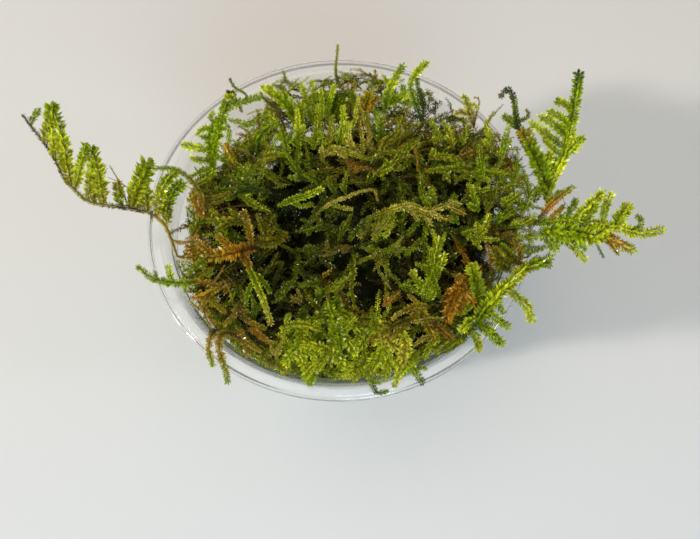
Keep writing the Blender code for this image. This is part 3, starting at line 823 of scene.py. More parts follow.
def topWalk(rng, depth):
    # a wandering line over the mat, at a depth under its top, that bends down where it passes the edge
    angle = rng.uniform(0.0, 360.0)
    reach = matEdge(angle) * math.sqrt(rng.random()) * walk["reach"]
    turn = math.radians(angle)
    spot = onCircle(reach, turn).xy
    heading = turn + math.radians(rng.gauss(0.0, walk["swing"]))
    bend = rng.gauss(0.0, walk["bend"])
    length = rng.uniform(*walk["length"])
    arch = rng.uniform(*walk["arch"])
    rise = rng.gauss(*walk["rise"]) + walk["backRise"] * max(0.0, spot.y - walk["backFrom"]) / mat["edge"]
    drop = 0.0
    points = []
    for part in range(walk["steps"] + 1):
        share = part / walk["steps"]
        edge = matEdge(angleOf(spot)) - walk["edgeGap"]
        if spot.length > edge:
            drop += (spot.length - edge) * walk["edgeDrop"]
            spot = spot * (edge / spot.length)
        height = matTop(spot.x, spot.y) - depth + arch * math.sin(math.pi * share) + rise * share - drop
        points.append(heldIn(Vector((spot.x, spot.y, height))))
        heading += bend + rng.gauss(0.0, walk["wander"])
        spot = spot + Vector((math.cos(heading), math.sin(heading))) * (length / walk["steps"])
    return points


def sectorOf(point):
    return int((angleOf(point) % 360.0) / 120.0)


def halfOf(point):
    return 0 if point.y < 0.0 else 1


heap = {
    "seed": 11, "leafSeed": 20, "shoots": 480, "depths": (0.6, 1.8, 3.2, 4.6),
    "paintedDepthShade": (1.04, 0.70, 0.36, 0.18), "gapsOpen": 0.85, "airyBack": 15.0, "airyShare": 0.6,
    "facingJitter": 0.35, "towardsFront": 0.15, "leaf": (0.72, 1.12), "sideLeaf": 0.86,
    "sidePitch": (2.0, 3.4), "sideReach": (2.6, 6.0),
}


def growHeap():
    rng = random.Random(heap["seed"])
    sectors = [[], [], []]
    jitter = heap["facingJitter"]
    for number in range(heap["shoots"]):
        layer = number % len(heap["depths"])
        points = topWalk(rng, heap["depths"][layer])
        middle = points[len(points) // 2]
        if layer < 2 and crossesGap(points) and rng.random() < heap["gapsOpen"]:
            continue
        if layer > 0 and middle.y > heap["airyBack"] and rng.random() < heap["airyShare"]:
            continue
        # painted shade: the deeper a shoot lies in the heap, the darker its tints
        tints = dimmed(patchTints(middle, rng), heap["paintedDepthShade"][layer])
        sideways, forwards = rng.gauss(0, jitter), rng.gauss(0, jitter) - heap["towardsFront"]
        facing = (up + Vector((sideways, forwards, 0.0))).normalized()
        leaf = rng.uniform(*heap["leaf"])
        sectors[sectorOf(middle)] += branched(points, leaf, tints, facing, rng, heap)
    return sectors


brim = {
    "seed": 14, "leafSeed": 25, "shoots": 120, "parts": 5, "stray": 0.4, "gap": 0.4,
    "turning": (0.2, 1.0), "length": (6.0, 12.0), "height": (39.3, 41.3), "inside": 2.8, "outward": 3.6,
    "radiusJitter": 0.3, "rise": (0.4, 1.6), "shade": (0.7, 1.1), "lean": 0.5, "leaf": (0.8, 1.15),
    "sideLeaf": 0.86, "sidePitch": 2.2, "sideReach": (2.0, 3.6),
}


def growEdge():
    # shoots that lie round the brim of the mat, against the cup's collar
    rng = random.Random(brim["seed"])
    sectors = [[], [], []]
    for number in range(brim["shoots"]):
        angle = 360.0 * (number + rng.uniform(-brim["stray"], brim["stray"])) / brim["shoots"]
        reach = (cup["collarRadius"] - brim["gap"]) * matNarrow(angle)
        turning = rng.choice((-1.0, 1.0)) * rng.uniform(*brim["turning"])
        length = rng.uniform(*brim["length"])
        height = rng.uniform(*brim["height"])
        points = []
        for part in range(brim["parts"] + 1):
            share = part / brim["parts"]
            turn = math.radians(angle + turning * math.degrees(length * share / reach))
            radius = reach - brim["inside"] + brim["outward"] * math.sin(math.pi / 2.0 * share)
            radius += rng.uniform(-brim["radiusJitter"], brim["radiusJitter"])
            rise = rng.uniform(*brim["rise"]) * share
            points.append(heldIn(onCircle(radius, turn, height + rise), brim["gap"]))
        middle = points[len(points) // 2]
        tints = dimmed(patchTints(middle, rng), rng.uniform(*brim["shade"]))
        facing = (up + Vector((middle.x, middle.y, 0.0)).normalized() * brim["lean"]).normalized()
        leaf = rng.uniform(*brim["leaf"])
        sectors[sectorOf(middle)] += branched(points, leaf, tints, facing, rng, brim)
    return sectors


wall = {
    "seed": 12, "leafSeed": 30, "shoots": 400, "parts": 8, "depths": (0.7, 1.7, 2.9),
    "paintedDepthShade": (0.95, 0.75, 0.6), "height": (3.5, 38.0), "lowest": 3.2, "highest": 39.5, "steepest": 1.2,
    "climbJitter": 0.25, "climb": 0.7, "slowing": 0.3, "bulge": 0.6, "length": (9.0, 17.0),
    "airyAbove": 27.0, "airyShare": 0.6, "patchReach": 1.5, "leaf": (1.0, 1.4), "sideLeaf": 0.86,
    "sidePitch": 2.4, "sideReach": (2.4, 4.0),
}


def growWalls(rng, halves):
    # shoots pressed against the cup's wall
    for number in range(wall["shoots"]):
        angle = rng.uniform(0.0, 360.0)
        height = rng.uniform(*wall["height"])
        climb = rng.gauss(0.0, 1.0)
        turning = rng.choice((-1.0, 1.0))
        step = rng.uniform(*wall["length"]) / wall["parts"]
        layer = number % len(wall["depths"])
        points = []
        for part in range(wall["parts"]):
            bulge = wall["bulge"] * math.sin(math.pi * part / (wall["parts"] - 1))
            radius = matRadius(angle, height) - wall["depths"][layer] - bulge
            points.append(heldIn(onCircle(radius, math.radians(angle), height)))
            climb = clamped(climb + rng.gauss(0.0, wall["climbJitter"]), -wall["steepest"], wall["steepest"])
            height = clamped(height + climb * step * wall["climb"], wall["lowest"], wall["highest"])
            angle += turning * math.degrees(step / radius) * (1.0 - wall["slowing"] * abs(climb))
        middle = points[len(points) // 2]
        isAiry = middle.y > heap["airyBack"] and middle.z > wall["airyAbove"]
        if isAiry and rng.random() < wall["airyShare"]:
            continue
        facing = Vector((middle.x, middle.y, 0.0)).normalized()
        spot = (middle.x * wall["patchReach"], middle.y * wall["patchReach"], middle.z)
        # painted shade: the further a shoot lies in from the wall, the darker its tints
        tints = dimmed(patchTints(spot, rng), wall["paintedDepthShade"][layer])
        leaf = rng.uniform(*wall["leaf"])
        halves[halfOf(middle)] += branched(points, leaf, tints, facing, rng, wall)


cupFloor = {
    "shoots": 46, "parts": 7, "pitch": 1.6, "gap": 7.0, "height": 3.7, "wave": 0.4, "wander": 0.1,
    "leaf": 1.1, "sideLeaf": 1.0 / 1.1, "sidePitch": 2.4, "sideReach": 3.4,
}


def growFloor(rng, halves):
    # shoots pressed against the cup's floor
    for number in range(cupFloor["shoots"]):
        angle = rng.uniform(0.0, math.tau)
        reach = (cup["baseRadius"] - cupFloor["gap"]) * math.sqrt(rng.random())
        heading = rng.uniform(0.0, math.tau)
        points = []
        for part in range(cupFloor["parts"]):
            along = part - cupFloor["parts"] // 2
            x = reach * math.cos(angle) + math.cos(heading) * cupFloor["pitch"] * along
            y = reach * math.sin(angle) + math.sin(heading) * cupFloor["pitch"] * along
            points.append(heldIn(Vector((x, y, cupFloor["height"] + cupFloor["wave"] * math.sin(part)))))
            heading += rng.gauss(0.0, cupFloor["wander"])
        middle = points[len(points) // 2]
        tints = patchTints(middle, rng)
        halves[halfOf(middle)] += branched(points, cupFloor["leaf"], tints, -up, rng, cupFloor)


twigs = {
    "seed": 13, "leafSeed": 40, "count": 76,
    "depth": (-0.6, 1.0), "tan": (0.0, 0.8), "stem": (0.07, 0.14),
}


def growTwigs():
    # bare dead stems that lie across the heap
    rng = random.Random(twigs["seed"])
    strands = []
    for number in range(twigs["count"]):
        points = topWalk(rng, rng.uniform(*twigs["depth"]))
        if crossesGap(points):
            continue
        tint = mixed(palette["bark"], palette["tan"], rng.uniform(*twigs["tan"]))
        strands.append(makeStrand(points, 0.0, [tint, tint], up, rng.uniform(*twigs["stem"])))
    return strands


def dress(piece, node):
    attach(piece, "root")
    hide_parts(node)


# The dark heart, packed moss with painted shade under the heap: its rings make the bottom, then the wall,
# then the top.
core = {
    "sides": 96, "rings": 44, "bottomEnd": 0.12, "wallEnd": 0.6, "bottom": 3.0, "wallHeight": 34.0,
    "bottomGap": 3.2, "wallGap": 3.6, "topGap": 4.2, "topDepth": 4.6, "backOpening": (0.26, 95.0, 70.0),
    "openFrom": 20.0, "openRise": 12.0, "brimDrop": 3.0, "brimFrom": 0.85, "brimReach": 0.15,
    "lumpScale": 0.22,
    "lumpForm": (0.8, 2.0, 4),  # the noise's smoothness, step between sizes and number of sizes
    "lumpFrom": 0.15, "lump": 1.3, "lumpIn": 0.02, "lumpUp": 0.8,
}


def coreSpot(share, angle):
    turn = math.radians(angle)
    backOpening = swollen(core["backOpening"], angle)
    if share < core["bottomEnd"]:
        radius = cupInside(core["bottom"]) - core["bottomGap"]
        return onCircle(radius * math.sin(math.pi / 2.0 * share / core["bottomEnd"]), turn, core["bottom"])
    if share < core["wallEnd"]:
        climbed = (share - core["bottomEnd"]) / (core["wallEnd"] - core["bottomEnd"])
        height = core["bottom"] + climbed * core["wallHeight"]
        opened = backOpening * clamped((height - core["openFrom"]) / core["openRise"])
        return onCircle((matRadius(angle, height) - core["wallGap"]) * (1.0 - opened), turn, height)
    close = (1.0 - share) / (1.0 - core["wallEnd"])
    radius = (matEdge(angle) - core["topGap"]) * (1.0 - backOpening)
    radius *= math.sin(math.pi / 2.0 * close)
    height = matTop(radius * math.cos(turn), radius * math.sin(turn)) - core["topDepth"]
    height -= core["brimDrop"] * max(0.0, close - core["brimFrom"]) / core["brimReach"]
    return onCircle(radius, turn, height)


def matCore():
    # the dark heart under the shoots, a little inside the mat's outer form, dark as packed moss and as
    # painted shade
    rings = [[] for ring in range(core["rings"] + 1)]
    for number, ring in enumerate(rings):
        share = number / core["rings"]
        for part in range(core["sides"]):
            spot = coreSpot(share, 360.0 * part / core["sides"])
            lump = noise.fractal(spot * core["lumpScale"], *core["lumpForm"]) * core["lump"]
            raised = core["lumpUp"] * lump if share > core["lumpFrom"] else 0.0
            ring.append(tuple((spot * (1.0 - core["lumpIn"] * lump) + up * raised) * mm))
    item = closedSkin("matCore", rings)
    item.data.materials.append(coreMaterial())
    return item


dress(matCore(), "moss_tangle")
for number, strands in enumerate(growHeap()):
    piece = leafyPiece("heapShoots" + "ABC"[number], strands, matLook, heap["leafSeed"] + number)
    dress(piece, "moss_tangle")
dress(leafyPiece("edgeShoots", sum(growEdge(), []), matLook, brim["leafSeed"]), "moss_tangle")
wallRng = random.Random(wall["seed"])
wallHalves = [[], []]
growWalls(wallRng, wallHalves)
growFloor(wallRng, wallHalves)
for number, strands in enumerate(wallHalves):
    piece = leafyPiece("wallShoots" + "AB"[number], strands, wallLook, wall["leafSeed"] + number)
    dress(piece, "moss_tangle")
twigPiece = leafyPiece("deadTwigs", growTwigs(), matLook, twigs["leafSeed"], stemSides=6)
dress(twigPiece, "moss_tangle")
print("mat is grown")


# Fronds that stand clear of the mat: the node's slot, then its shoots, the main one first. A shoot has its
# tints from foot to tip, the leaf length, the stem's radius and its route in millimetres.
fronds = {
    "frond_left_long": ["moss_bright",
        ("tan tan bark olive bark bark bark", 0.6, 0.17, [(-31.7, -7.8, 38.5), (-31.9, -6.4, 42.5),
            (-32.5, -4.9, 45), (-34.1, -3.4, 46.6), (-36.3, -2.8, 47.6), (-38.8, -2.7, 48.6),
            (-41.7, -2.6, 49.6), (-44.4, -2.3, 50), (-46.3, -1.5, 50.5), (-48.1, 0.2, 51),
            (-49.9, 2.1, 51.4), (-51.6, 5.3, 51.8), (-53.3, 8.1, 52.2), (-55, 10.3, 52.6),
            (-56.7, 12.4, 52.9), (-58.9, 15.3, 53)]),
        ("leaf leaf leaf", 0.8, 0.1, [(-57.1, 13.1, 52.9), (-56.5, 14.4, 53.6), (-55.6, 15.6, 54)]),
        ("olive spring leaf", 1.5, 0.12, [(-54.2, 9.3, 52.4), (-52.8, 11.8, 54.5), (-51.9, 14.3, 56.5)]),
        ("olive spring leaf", 1.5, 0.12, [(-48.7, 0.8, 51), (-49.4, 4.5, 53), (-50.4, 8.9, 54.5),
            (-51.8, 13.4, 55)]),
        ("olive spring", 1.1, 0.1, [(-52, 5.9, 51.6), (-52.1, 8, 53), (-52.3, 10.6, 54)]),
        ("olive spring leaf", 1.1, 0.1, [(-48, 0.1, 50.8), (-46.5, 2.8, 53.5), (-45, 6.2, 56)]),
        ("olive spring leaf", 1.5, 0.12, [(-43, -2.4, 49.8), (-43, 0.6, 52.5), (-43.5, 3, 54),
            (-44.4, 5.8, 55.5)]),
        ("olive spring", 1.0, 0.1, [(-45.5, -1.9, 50.4), (-44.6, 0.2, 52.8), (-44.4, 3.2, 54)]),
        ("olive spring", 0.9, 0.1, [(-44.4, -2.3, 50), (-44.5, -0.2, 51), (-44.5, 1.8, 52)]),
        ("bark olive", 0.25, 0.13, [(-38.8, -2.3, 48.6), (-39.9, 1, 51), (-41.4, 3.6, 53)]),
        ("bark olive", 0.0, 0.1, [(-38.7, 0.6, 50.5), (-40.5, 1.6, 51), (-42.2, 2.2, 51.5)]),
        ("bark bark", 0.0, 0.1, [(-43.8, 1.3, 52), (-43.2, 1.9, 52.4), (-41.7, 3.2, 53)]),
        ("leaf olive", 1.15, 0.1, [(-39.9, -2.5, 49), (-40.1, -0.7, 50.3), (-40.1, 0.9, 51.5)]),
        ("olive spring leaf", 1.8, 0.13, [(-38.3, -2.6, 48.4), (-36.6, 0.2, 51), (-34.4, 3.5, 53.5)]),
        ("olive spring", 1.5, 0.1, [(-35.6, -3, 47.4), (-35.5, -0.9, 49), (-35.9, 1.4, 50.5)]),
        ("olive leaf", 1.1, 0.1, [(-37.1, -2.8, 48), (-37.1, -1.3, 49), (-37.6, 0.2, 50)]),
        ("olive spring leaf", 1.25, 0.12, [(-33.8, -3.4, 46.5), (-33, -0.1, 49), (-31.5, 1.8, 50.6),
            (-29.6, 2.8, 52)]),
        ("olive leaf leaf", 1.35, 0.12, [(-32.4, -4.7, 45.4), (-31.8, -1.3, 47.6), (-30.4, 0.8, 49),
            (-28.6, 1.4, 49.8)]),
        ("bark leaf", 0.4, 0.12, [(-35.1, -3.1, 47.2), (-34.8, -3.6, 46.6), (-34.9, -4.1, 46)]),
        ("bark olive", 0.0, 0.12, [(-47.5, 1.3, 51.2), (-48.3, 3.1, 52), (-48.8, 5.8, 52.6)]),
        ("bark tan olive", 0.5, 0.16, [(-31.5, -8.3, 39.5), (-29, -9.7, 41.5), (-26.2, -10.4, 43.5)]),
        ("tan rust", 0.5, 0.16, [(-31.9, -6.4, 42.5), (-29.1, -7.5, 43.4), (-26.6, -6.6, 44.4)]),
    ],
    "frond_left_small": ["moss_green",
        ("olive leaf leaf leaf", 0.85, 0.18, [(-25.7, -14.4, 42), (-28.2, -15.7, 43.4), (-31.3, -16.1, 45),
            (-34.1, -15.5, 46), (-36.5, -13.6, 46.4)]),
        ("leaf spring", 0.8, 0.1, [(-30.6, -15.8, 44.8), (-30.8, -14.9, 45.8), (-31.1, -13.7, 46.6)]),
        ("leaf leaf", 0.5, 0.1, [(-32.9, -15.9, 45.6), (-33.2, -15.2, 46.2), (-33.3, -14.6, 46.6)]),
        ("leaf leaf", 0.5, 0.1, [(-28.6, -15.7, 43.5), (-28.8, -16.5, 43), (-28.5, -17.1, 42.6)]),
    ],
    "frond_left_arch": ["moss_brown",
        ("rust olive olive leaf leaf", 0.6, 0.2, [(-25.5, -2.2, 45.5), (-25.9, 0.2, 47), (-26.9, 1.6, 50),
            (-28.5, 2.1, 52.8), (-30.4, 1.8, 54.6), (-32.7, 1, 55.6)]),
        ("rust tan", 0.9, 0.14, [(-25.6, -3.5, 45.5), (-26.7, -1.4, 46.5), (-27.5, 1, 47.5)]),
        ("rust olive", 0.6, 0.12, [(-25.6, -1.2, 46.4), (-26.8, -0.4, 47), (-28.2, -0.7, 47.6)]),
        ("olive leaf", 0.95, 0.1, [(-26.8, 1.2, 49.6), (-24.9, 2.4, 50), (-23.3, 3.7, 50)]),
    ],
    "frond_front_left_outer": ["moss_brown",
        ("bark bark tan olive leaf", 0.75, 0.2, [(-21.4, -23.7, 42), (-22.8, -25.1, 43.4),
            (-23.6, -27, 43.2), (-23.6, -29, 42.6), (-23, -31, 41.8)]),
        ("bark tan", 0.3, 0.14, [(-25.1, -19.9, 43), (-24.4, -22.6, 43.4), (-22.8, -25.1, 43.4)]),
    ],
    "frond_front_left_inner": ["moss_brown",
        ("bark tan olive leaf", 0.8, 0.2, [(-19.9, -25.2, 42), (-21.3, -25.9, 44), (-21.7, -28, 44.2),
            (-21.1, -30.6, 43.8), (-20.4, -32.6, 43.2), (-20.1, -34.2, 42.6)]),
        ("bark tan", 0.25, 0.14, [(-16.5, -27.3, 42.4), (-18.5, -26.9, 43.4), (-20.6, -26.1, 44)]),
    ],
    "frond_front_drip_left": ["moss_green",
        ("leaf leaf leaf", 0.9, 0.16, [(-3.8, -31.2, 43), (-4.9, -32.5, 43.4), (-6.1, -35, 42.8)]),
        ("leaf leaf", 0.7, 0.1, [(-4.7, -32.5, 43.2), (-6.3, -33.3, 43), (-7.2, -33.8, 42.6)]),
    ],
    "frond_front_drip_middle": ["moss_green",
        ("leaf leaf deep leaf", 0.61, 0.22, [(3.8, -31.5, 43.4), (4.1, -33.7, 43.6), (4.7, -35.4, 43),
            (5.5, -36.8, 42.6), (7.4, -36.5, 42.4)]),
        ("leaf leaf", 0.61, 0.12, [(4.5, -34.9, 43.2), (5.4, -35, 43), (6.1, -35.2, 42.8)]),
    ],
    "frond_front_drip_right": ["moss_bright",
        ("leaf leaf deep", 0.83, 0.2, [(11.1, -30.7, 43.6), (11.8, -32.9, 43.6), (12.7, -34.2, 43),
            (13.5, -35.3, 42.4)]),
        ("leaf spring", 0.8, 0.1, [(11.4, -31.8, 43.6), (9.6, -33.5, 43.4), (8.5, -35.7, 42.6)]),
        ("deep leaf", 0.6, 0.12, [(12.4, -33.2, 43.4), (13.4, -32.5, 43.4), (14.1, -33, 43)]),
    ],
    "frond_right_low": ["moss_bright",
        ("deep leaf spring spring", 1.4, 0.2, [(22.4, -26.4, 43.5), (24, -24.2, 44.4), (26.1, -21.9, 45.2),
            (28.9, -19.3, 45.8), (32.2, -16.3, 45.8)]),
        ("leaf spring", 1.0, 0.12, [(29.3, -19.2, 45.8), (31, -20.9, 45.2), (32.8, -22.5, 44.4),
            (33.5, -24.9, 43.6)]),
        ("leaf leaf", 1.0, 0.12, [(25.3, -22.7, 45), (27.1, -24.4, 44.2), (29.2, -25.7, 43.4)]),
        ("deep leaf leaf", 1.15, 0.12, [(23.4, -25.2, 44.2), (25.7, -26.6, 43.6), (27.7, -28.8, 43)]),
        ("leaf spring", 0.9, 0.1, [(22.8, -26.4, 43.8), (23.5, -28, 43.2), (23.7, -29.7, 42.8)]),
        ("leaf spring", 1.0, 0.1, [(27.4, -20.8, 45.6), (29.7, -18.7, 46), (31.4, -17.3, 45.8)]),
        ("leaf leaf", 0.8, 0.1, [(26.7, -21.3, 45.2), (27.8, -22.3, 44.6), (28.5, -23.4, 44)]),
        ("leaf spring", 1.1, 0.1, [(23.8, -24.4, 44.6), (22.4, -25, 44.2), (21, -26.2, 43.4)]),
    ],
    "frond_right_long": ["moss_bright",
        ("deep leaf leaf spring spring spring", 1.2, 0.22, [(34.3, -5.8, 45), (37.8, -6.5, 46.2),
            (40.5, -6.5, 46.5), (43.2, -7, 46.8), (45.8, -7.6, 47), (48.4, -8, 47.2), (50.9, -8.8, 47.4),
            (52.9, -9.7, 47.5), (55.4, -10, 47.5), (58.5, -9.4, 47.4)]),
        ("leaf leaf spring", 1.9, 0.12, [(37.4, -8.1, 45.6), (40.4, -8.4, 46), (43.5, -9.3, 46.4),
            (45.9, -9.9, 46.6), (48.1, -9.2, 46.8)]),
        ("leaf spring spring", 1.25, 0.12, [(42.6, -6.8, 46.8), (44.9, -5.2, 48.8), (47.4, -3.6, 51)]),
        ("leaf leaf", 0.9, 0.1, [(41.5, -6.4, 46.6), (42.4, -4.9, 48), (43.2, -3.6, 49)]),
        ("leaf leaf", 1.1, 0.1, [(44.6, -7.1, 46.9), (45.6, -6.1, 48.4), (46.1, -5.1, 49.6)]),
        ("leaf spring", 0.85, 0.12, [(47.9, -7.9, 47.1), (48.2, -5.6, 49), (49, -3.7, 51)]),
        ("leaf spring", 1.4, 0.12, [(50.1, -8.5, 47.3), (50.7, -7.3, 48.8), (52.1, -5.7, 50)]),
        ("deep leaf leaf", 0.7, 0.12, [(52.7, -9.2, 47.4), (54.3, -9, 48), (54.4, -8, 48.8),
            (53.5, -7.4, 49.2)]),
        ("bark rust tan leaf", 1.2, 0.14, [(47.1, -8.6, 46.8), (49.6, -9.8, 45.4), (51.9, -10.5, 44.2),
            (54.4, -11.3, 43.2)]),
        ("rust tan olive", 0.9, 0.1, [(48.4, -9.4, 46), (50, -10.8, 44.6), (51.1, -12, 43.6)]),
        ("leaf deep", 0.45, 0.14, [(45.7, -8.6, 46.6), (47.2, -10.6, 44.8), (48.6, -12.5, 43)]),
        ("leaf leaf", 0.8, 0.1, [(43.5, -8.9, 46.4), (44.4, -10.1, 45.2), (45, -11.5, 44.2)]),
        ("leaf leaf", 0.7, 0.1, [(42.2, -8.5, 46.2), (43.2, -9.7, 45.2), (44.2, -10.8, 44.4)]),
        ("leaf spring", 0.9, 0.1, [(39.9, -7.9, 46), (42.3, -10.5, 44.8), (45.1, -13.1, 43.2)]),
        ("leaf leaf", 1.2, 0.1, [(38.7, -7.8, 45.8), (40.4, -9.1, 45), (41.9, -9.7, 44.4)]),
        ("leaf leaf", 1.2, 0.1, [(36.9, -7.5, 45.8), (38.3, -9.3, 44.8), (40, -11, 43.8)]),
        ("olive leaf leaf", 1.15, 0.14, [(30.8, -15.8, 44.8), (33.4, -15.2, 45), (36.1, -14.3, 45),
            (38.4, -12.9, 44.6)]),
        ("leaf leaf", 0.9, 0.1, [(35.4, -14.5, 45), (37.1, -14.4, 44.8), (38.1, -14.5, 44.4)]),
        ("rust olive", 0.8, 0.1, [(38.4, -6.3, 46.2), (39.9, -5.3, 47.4), (40.9, -4.5, 48.4)]),
    ],
    "frond_right_twig": ["moss_brown",
        ("bark rust tan leaf", 0.8, 0.2, [(36.7, -5.7, 46), (38.6, -4.2, 48), (40.4, -3, 49.6),
            (42.4, -2, 51)]),
        ("rust bark", 0.25, 0.12, [(39.2, -5.7, 46.6), (40.4, -5.1, 48), (41, -4.4, 49.4)]),
        ("olive leaf", 0.9, 0.1, [(37.9, -4.2, 47.4), (39, -3, 48.6), (40.4, -2.2, 49.6)]),
        ("rust tan", 0.0, 0.08, [(40.6, -3.1, 49.4), (41.1, -4.2, 49), (41.9, -4.8, 48.6)]),
    ],
    "frond_right_feather": ["moss_bright",
        ("leaf spring spring spring leaf leaf deep", 1.2, 0.2, [(39, -1.3, 44.8), (39.8, 0.8, 46.5),
            (40.8, 2.9, 48), (41.9, 4.9, 50), (42.6, 6.8, 52), (42.5, 8.5, 55), (42.5, 10.2, 58),
            (42.8, 12.6, 60), (42.9, 14.7, 62)]),
        ("leaf spring leaf", 0.95, 0.1, [(42.5, 9.6, 57), (41.2, 11.1, 58), (39.3, 11.3, 58.4)]),
        ("leaf spring", 0.95, 0.1, [(42.4, 8.1, 55.2), (40.1, 9.2, 56.8), (38, 9.8, 57.6)]),
        ("leaf spring", 0.95, 0.1, [(42.2, 7, 53.4), (39.4, 8.3, 55.6), (36.6, 9.2, 57)]),
        ("leaf spring", 0.95, 0.1, [(42, 5.8, 51.6), (38.6, 7.1, 54), (35, 8.6, 56)]),
        ("leaf spring", 0.8, 0.1, [(41.5, 4.9, 50.6), (39.4, 5.8, 52), (37.8, 7.3, 53.4)]),
        ("leaf spring leaf", 1.1, 0.12, [(42.1, 5.2, 50.2), (43.6, 6.1, 52), (44.7, 6.8, 53.6)]),
        ("spring spring", 1.0, 0.1, [(42.1, 5.6, 51.6), (41.7, 7.5, 53.6), (41.6, 9.1, 55.4)]),
        ("deep deep leaf", 0.3, 0.18, [(39.3, 2.1, 46.8), (39.7, 4.7, 49), (40.6, 6.9, 51.6)]),
        ("leaf leaf", 0.9, 0.1, [(39.9, 1.9, 47.2), (40.2, 3.9, 48.8), (40.2, 5.1, 50)]),
    ],
    "frond_right_feather_left": ["moss_bright",
        ("leaf leaf leaf leaf tan", 1.6, 0.2, [(39.1, 0.2, 45.2), (38.9, 1.3, 47.4), (37.6, 3.3, 49.6),
            (35.8, 5.3, 52.2), (34, 7.8, 54.4)]),
        ("leaf spring", 1.1, 0.1, [(38.3, 2.4, 48.6), (38.7, 3.9, 50), (39.2, 5.2, 51)]),
        ("leaf leaf", 1.0, 0.1, [(36.9, -1.5, 44.6), (37.2, -0.4, 46.4), (37.8, 0.6, 48)]),
        ("leaf spring", 0.8, 0.1, [(39.7, -1.1, 44.8), (38.7, -0.2, 46.4), (37.1, 0, 47.6)]),
    ],
    "frond_back_hook": ["moss_green",
        ("bark deep deep leaf deep bark", 0.75, 0.22, [(37.4, 10.7, 43.6), (36, 11.6, 46), (34.6, 13, 49.4),
            (33.4, 14.3, 53), (32.6, 15.1, 55.6), (31.4, 15.2, 57.2), (30.3, 14.4, 57.6), (29.8, 13.8, 57)]),
        ("deep leaf", 0.52, 0.14, [(34.3, 13.4, 50.2), (35.5, 12.9, 51.4), (36, 13.1, 52.6),
            (35.3, 13.5, 53.4)]),
        ("deep olive", 0.6, 0.14, [(36, 11.6, 46), (37.2, 10, 46.6), (38.3, 9.6, 46.8)]),
        ("leaf leaf", 0.9, 0.1, [(34.7, 12.7, 48.8), (33.3, 13.6, 49.6), (31.8, 14.3, 50.6)]),
    ],
    "frond_back_brown": ["moss_brown",
        ("bark rust tan rust", 0.3, 0.17, [(27.2, 16, 44.6), (27.4, 17.4, 46.6), (27.8, 18.5, 49),
            (27.4, 19.2, 50.2), (26.6, 18.9, 50.4)]),
    ],
    "frond_back_small": ["moss_yellow",
        ("olive straw spring", 0.9, 0.15, [(27.3, 16.7, 44.6), (26.4, 18.1, 46.4), (25.8, 19.1, 48),
            (24.9, 20, 49.6)]),
        ("olive straw", 0.8, 0.1, [(26.6, 18, 46.2), (24.7, 18.2, 47), (23.4, 17.7, 47.4)]),
        ("straw spring", 0.6, 0.1, [(26, 19, 47.8), (26.9, 18.8, 48.6), (27.3, 17.7, 48.8)]),
    ],
    "frond_back_twin": ["moss_green",
        ("deep deep leaf leaf spring leaf", 0.75, 0.2, [(16.8, 17, 45.6), (15.6, 18.2, 48.6),
            (14.5, 19.1, 51.4), (14.1, 20, 53.6), (14.9, 20.8, 56), (16.8, 21, 58.2)]),
        ("leaf spring leaf", 0.85, 0.14, [(14.5, 20.4, 54.8), (15.3, 20.7, 56.4), (16.6, 21, 58)]),
    ],
    "frond_back_twin_strand": ["moss_deep",
        ("deep deep leaf", 0.63, 0.2, [(16.6, 16.7, 45.4), (17, 18.1, 48), (16.5, 19.2, 50.4),
            (15.6, 20, 52.4), (15.3, 20.8, 54.6)]),
    ],
    "frond_back_fork": ["moss_bright",
        ("leaf leaf spring leaf", 0.95, 0.2, [(9.3, 18.9, 46), (9.6, 19.8, 48.6), (10.1, 20.5, 51.4),
            (11.3, 21.2, 54), (12.4, 22, 56.4)]),
        ("leaf spring", 0.5, 0.12, [(10.3, 20.6, 51.8), (9.5, 21.4, 53.2), (8.7, 21.7, 54.4)]),
        ("leaf leaf spring", 1.1, 0.12, [(9.6, 19.5, 48), (11.5, 19.8, 49.4), (13.6, 20, 50.4)]),
        ("leaf leaf", 0.8, 0.1, [(12.6, 19.6, 50), (13, 20.4, 50.8), (12.6, 21, 51.8)]),
        ("leaf leaf", 0.7, 0.1, [(11.1, 19.8, 49.2), (13.1, 19.4, 49), (14.5, 18.9, 48.6)]),
    ],
    "frond_back_orange": ["moss_brown",
        ("rust tan olive", 1.3, 0.16, [(4.8, 17.5, 44.8), (5.2, 18.9, 47.4), (6.2, 20.3, 50.6)]),
        ("rust tan", 0.9, 0.12, [(5.6, 18.3, 46.6), (6.8, 19.4, 48.6), (7.8, 20, 50.2)]),
        ("olive leaf", 1.0, 0.12, [(4.4, 17.9, 45.6), (3.7, 19.3, 48.2), (2.9, 20.5, 50.4)]),
    ],
    "frond_back_twigs": ["moss_brown",
        ("bark tan tan", 0.42, 0.14, [(2.5, 18.6, 46), (2.9, 20.3, 49.4), (3.7, 22.4, 51.6)]),
        ("tan tan", 0.42, 0.1, [(2.5, 19.7, 47.8), (1.6, 21.1, 49.4), (1.2, 22.3, 50.6)]),
        ("tan tan", 0.45, 0.1, [(2.1, 20, 48.6), (1, 20.9, 49.4), (0, 21.2, 50)]),
        ("tan rust", 0.42, 0.1, [(2.9, 20.7, 49.6), (2, 21.7, 50.8), (2.4, 22.6, 51.4)]),
    ],
    "frond_back_needle": ["moss_deep",
        ("leaf leaf bark leaf olive", 0.45, 0.26, [(-3, 19.6, 48.4), (-1.4, 20.6, 51), (0.2, 20.9, 53),
            (-0.1, 21.6, 55), (0, 22.6, 57.2), (0.4, 24.2, 60)]),
        ("leaf leaf deep", 1.2, 0.14, [(-0.3, 17.9, 46.4), (0.5, 18.9, 48.6), (1.5, 20.2, 50.8)]),
        ("leaf deep", 1.0, 0.1, [(-1.3, 17.6, 46.2), (-0.9, 18.8, 48.4), (0, 20.1, 50.4)]),
    ],
    "frond_back_fan": ["moss_bright",
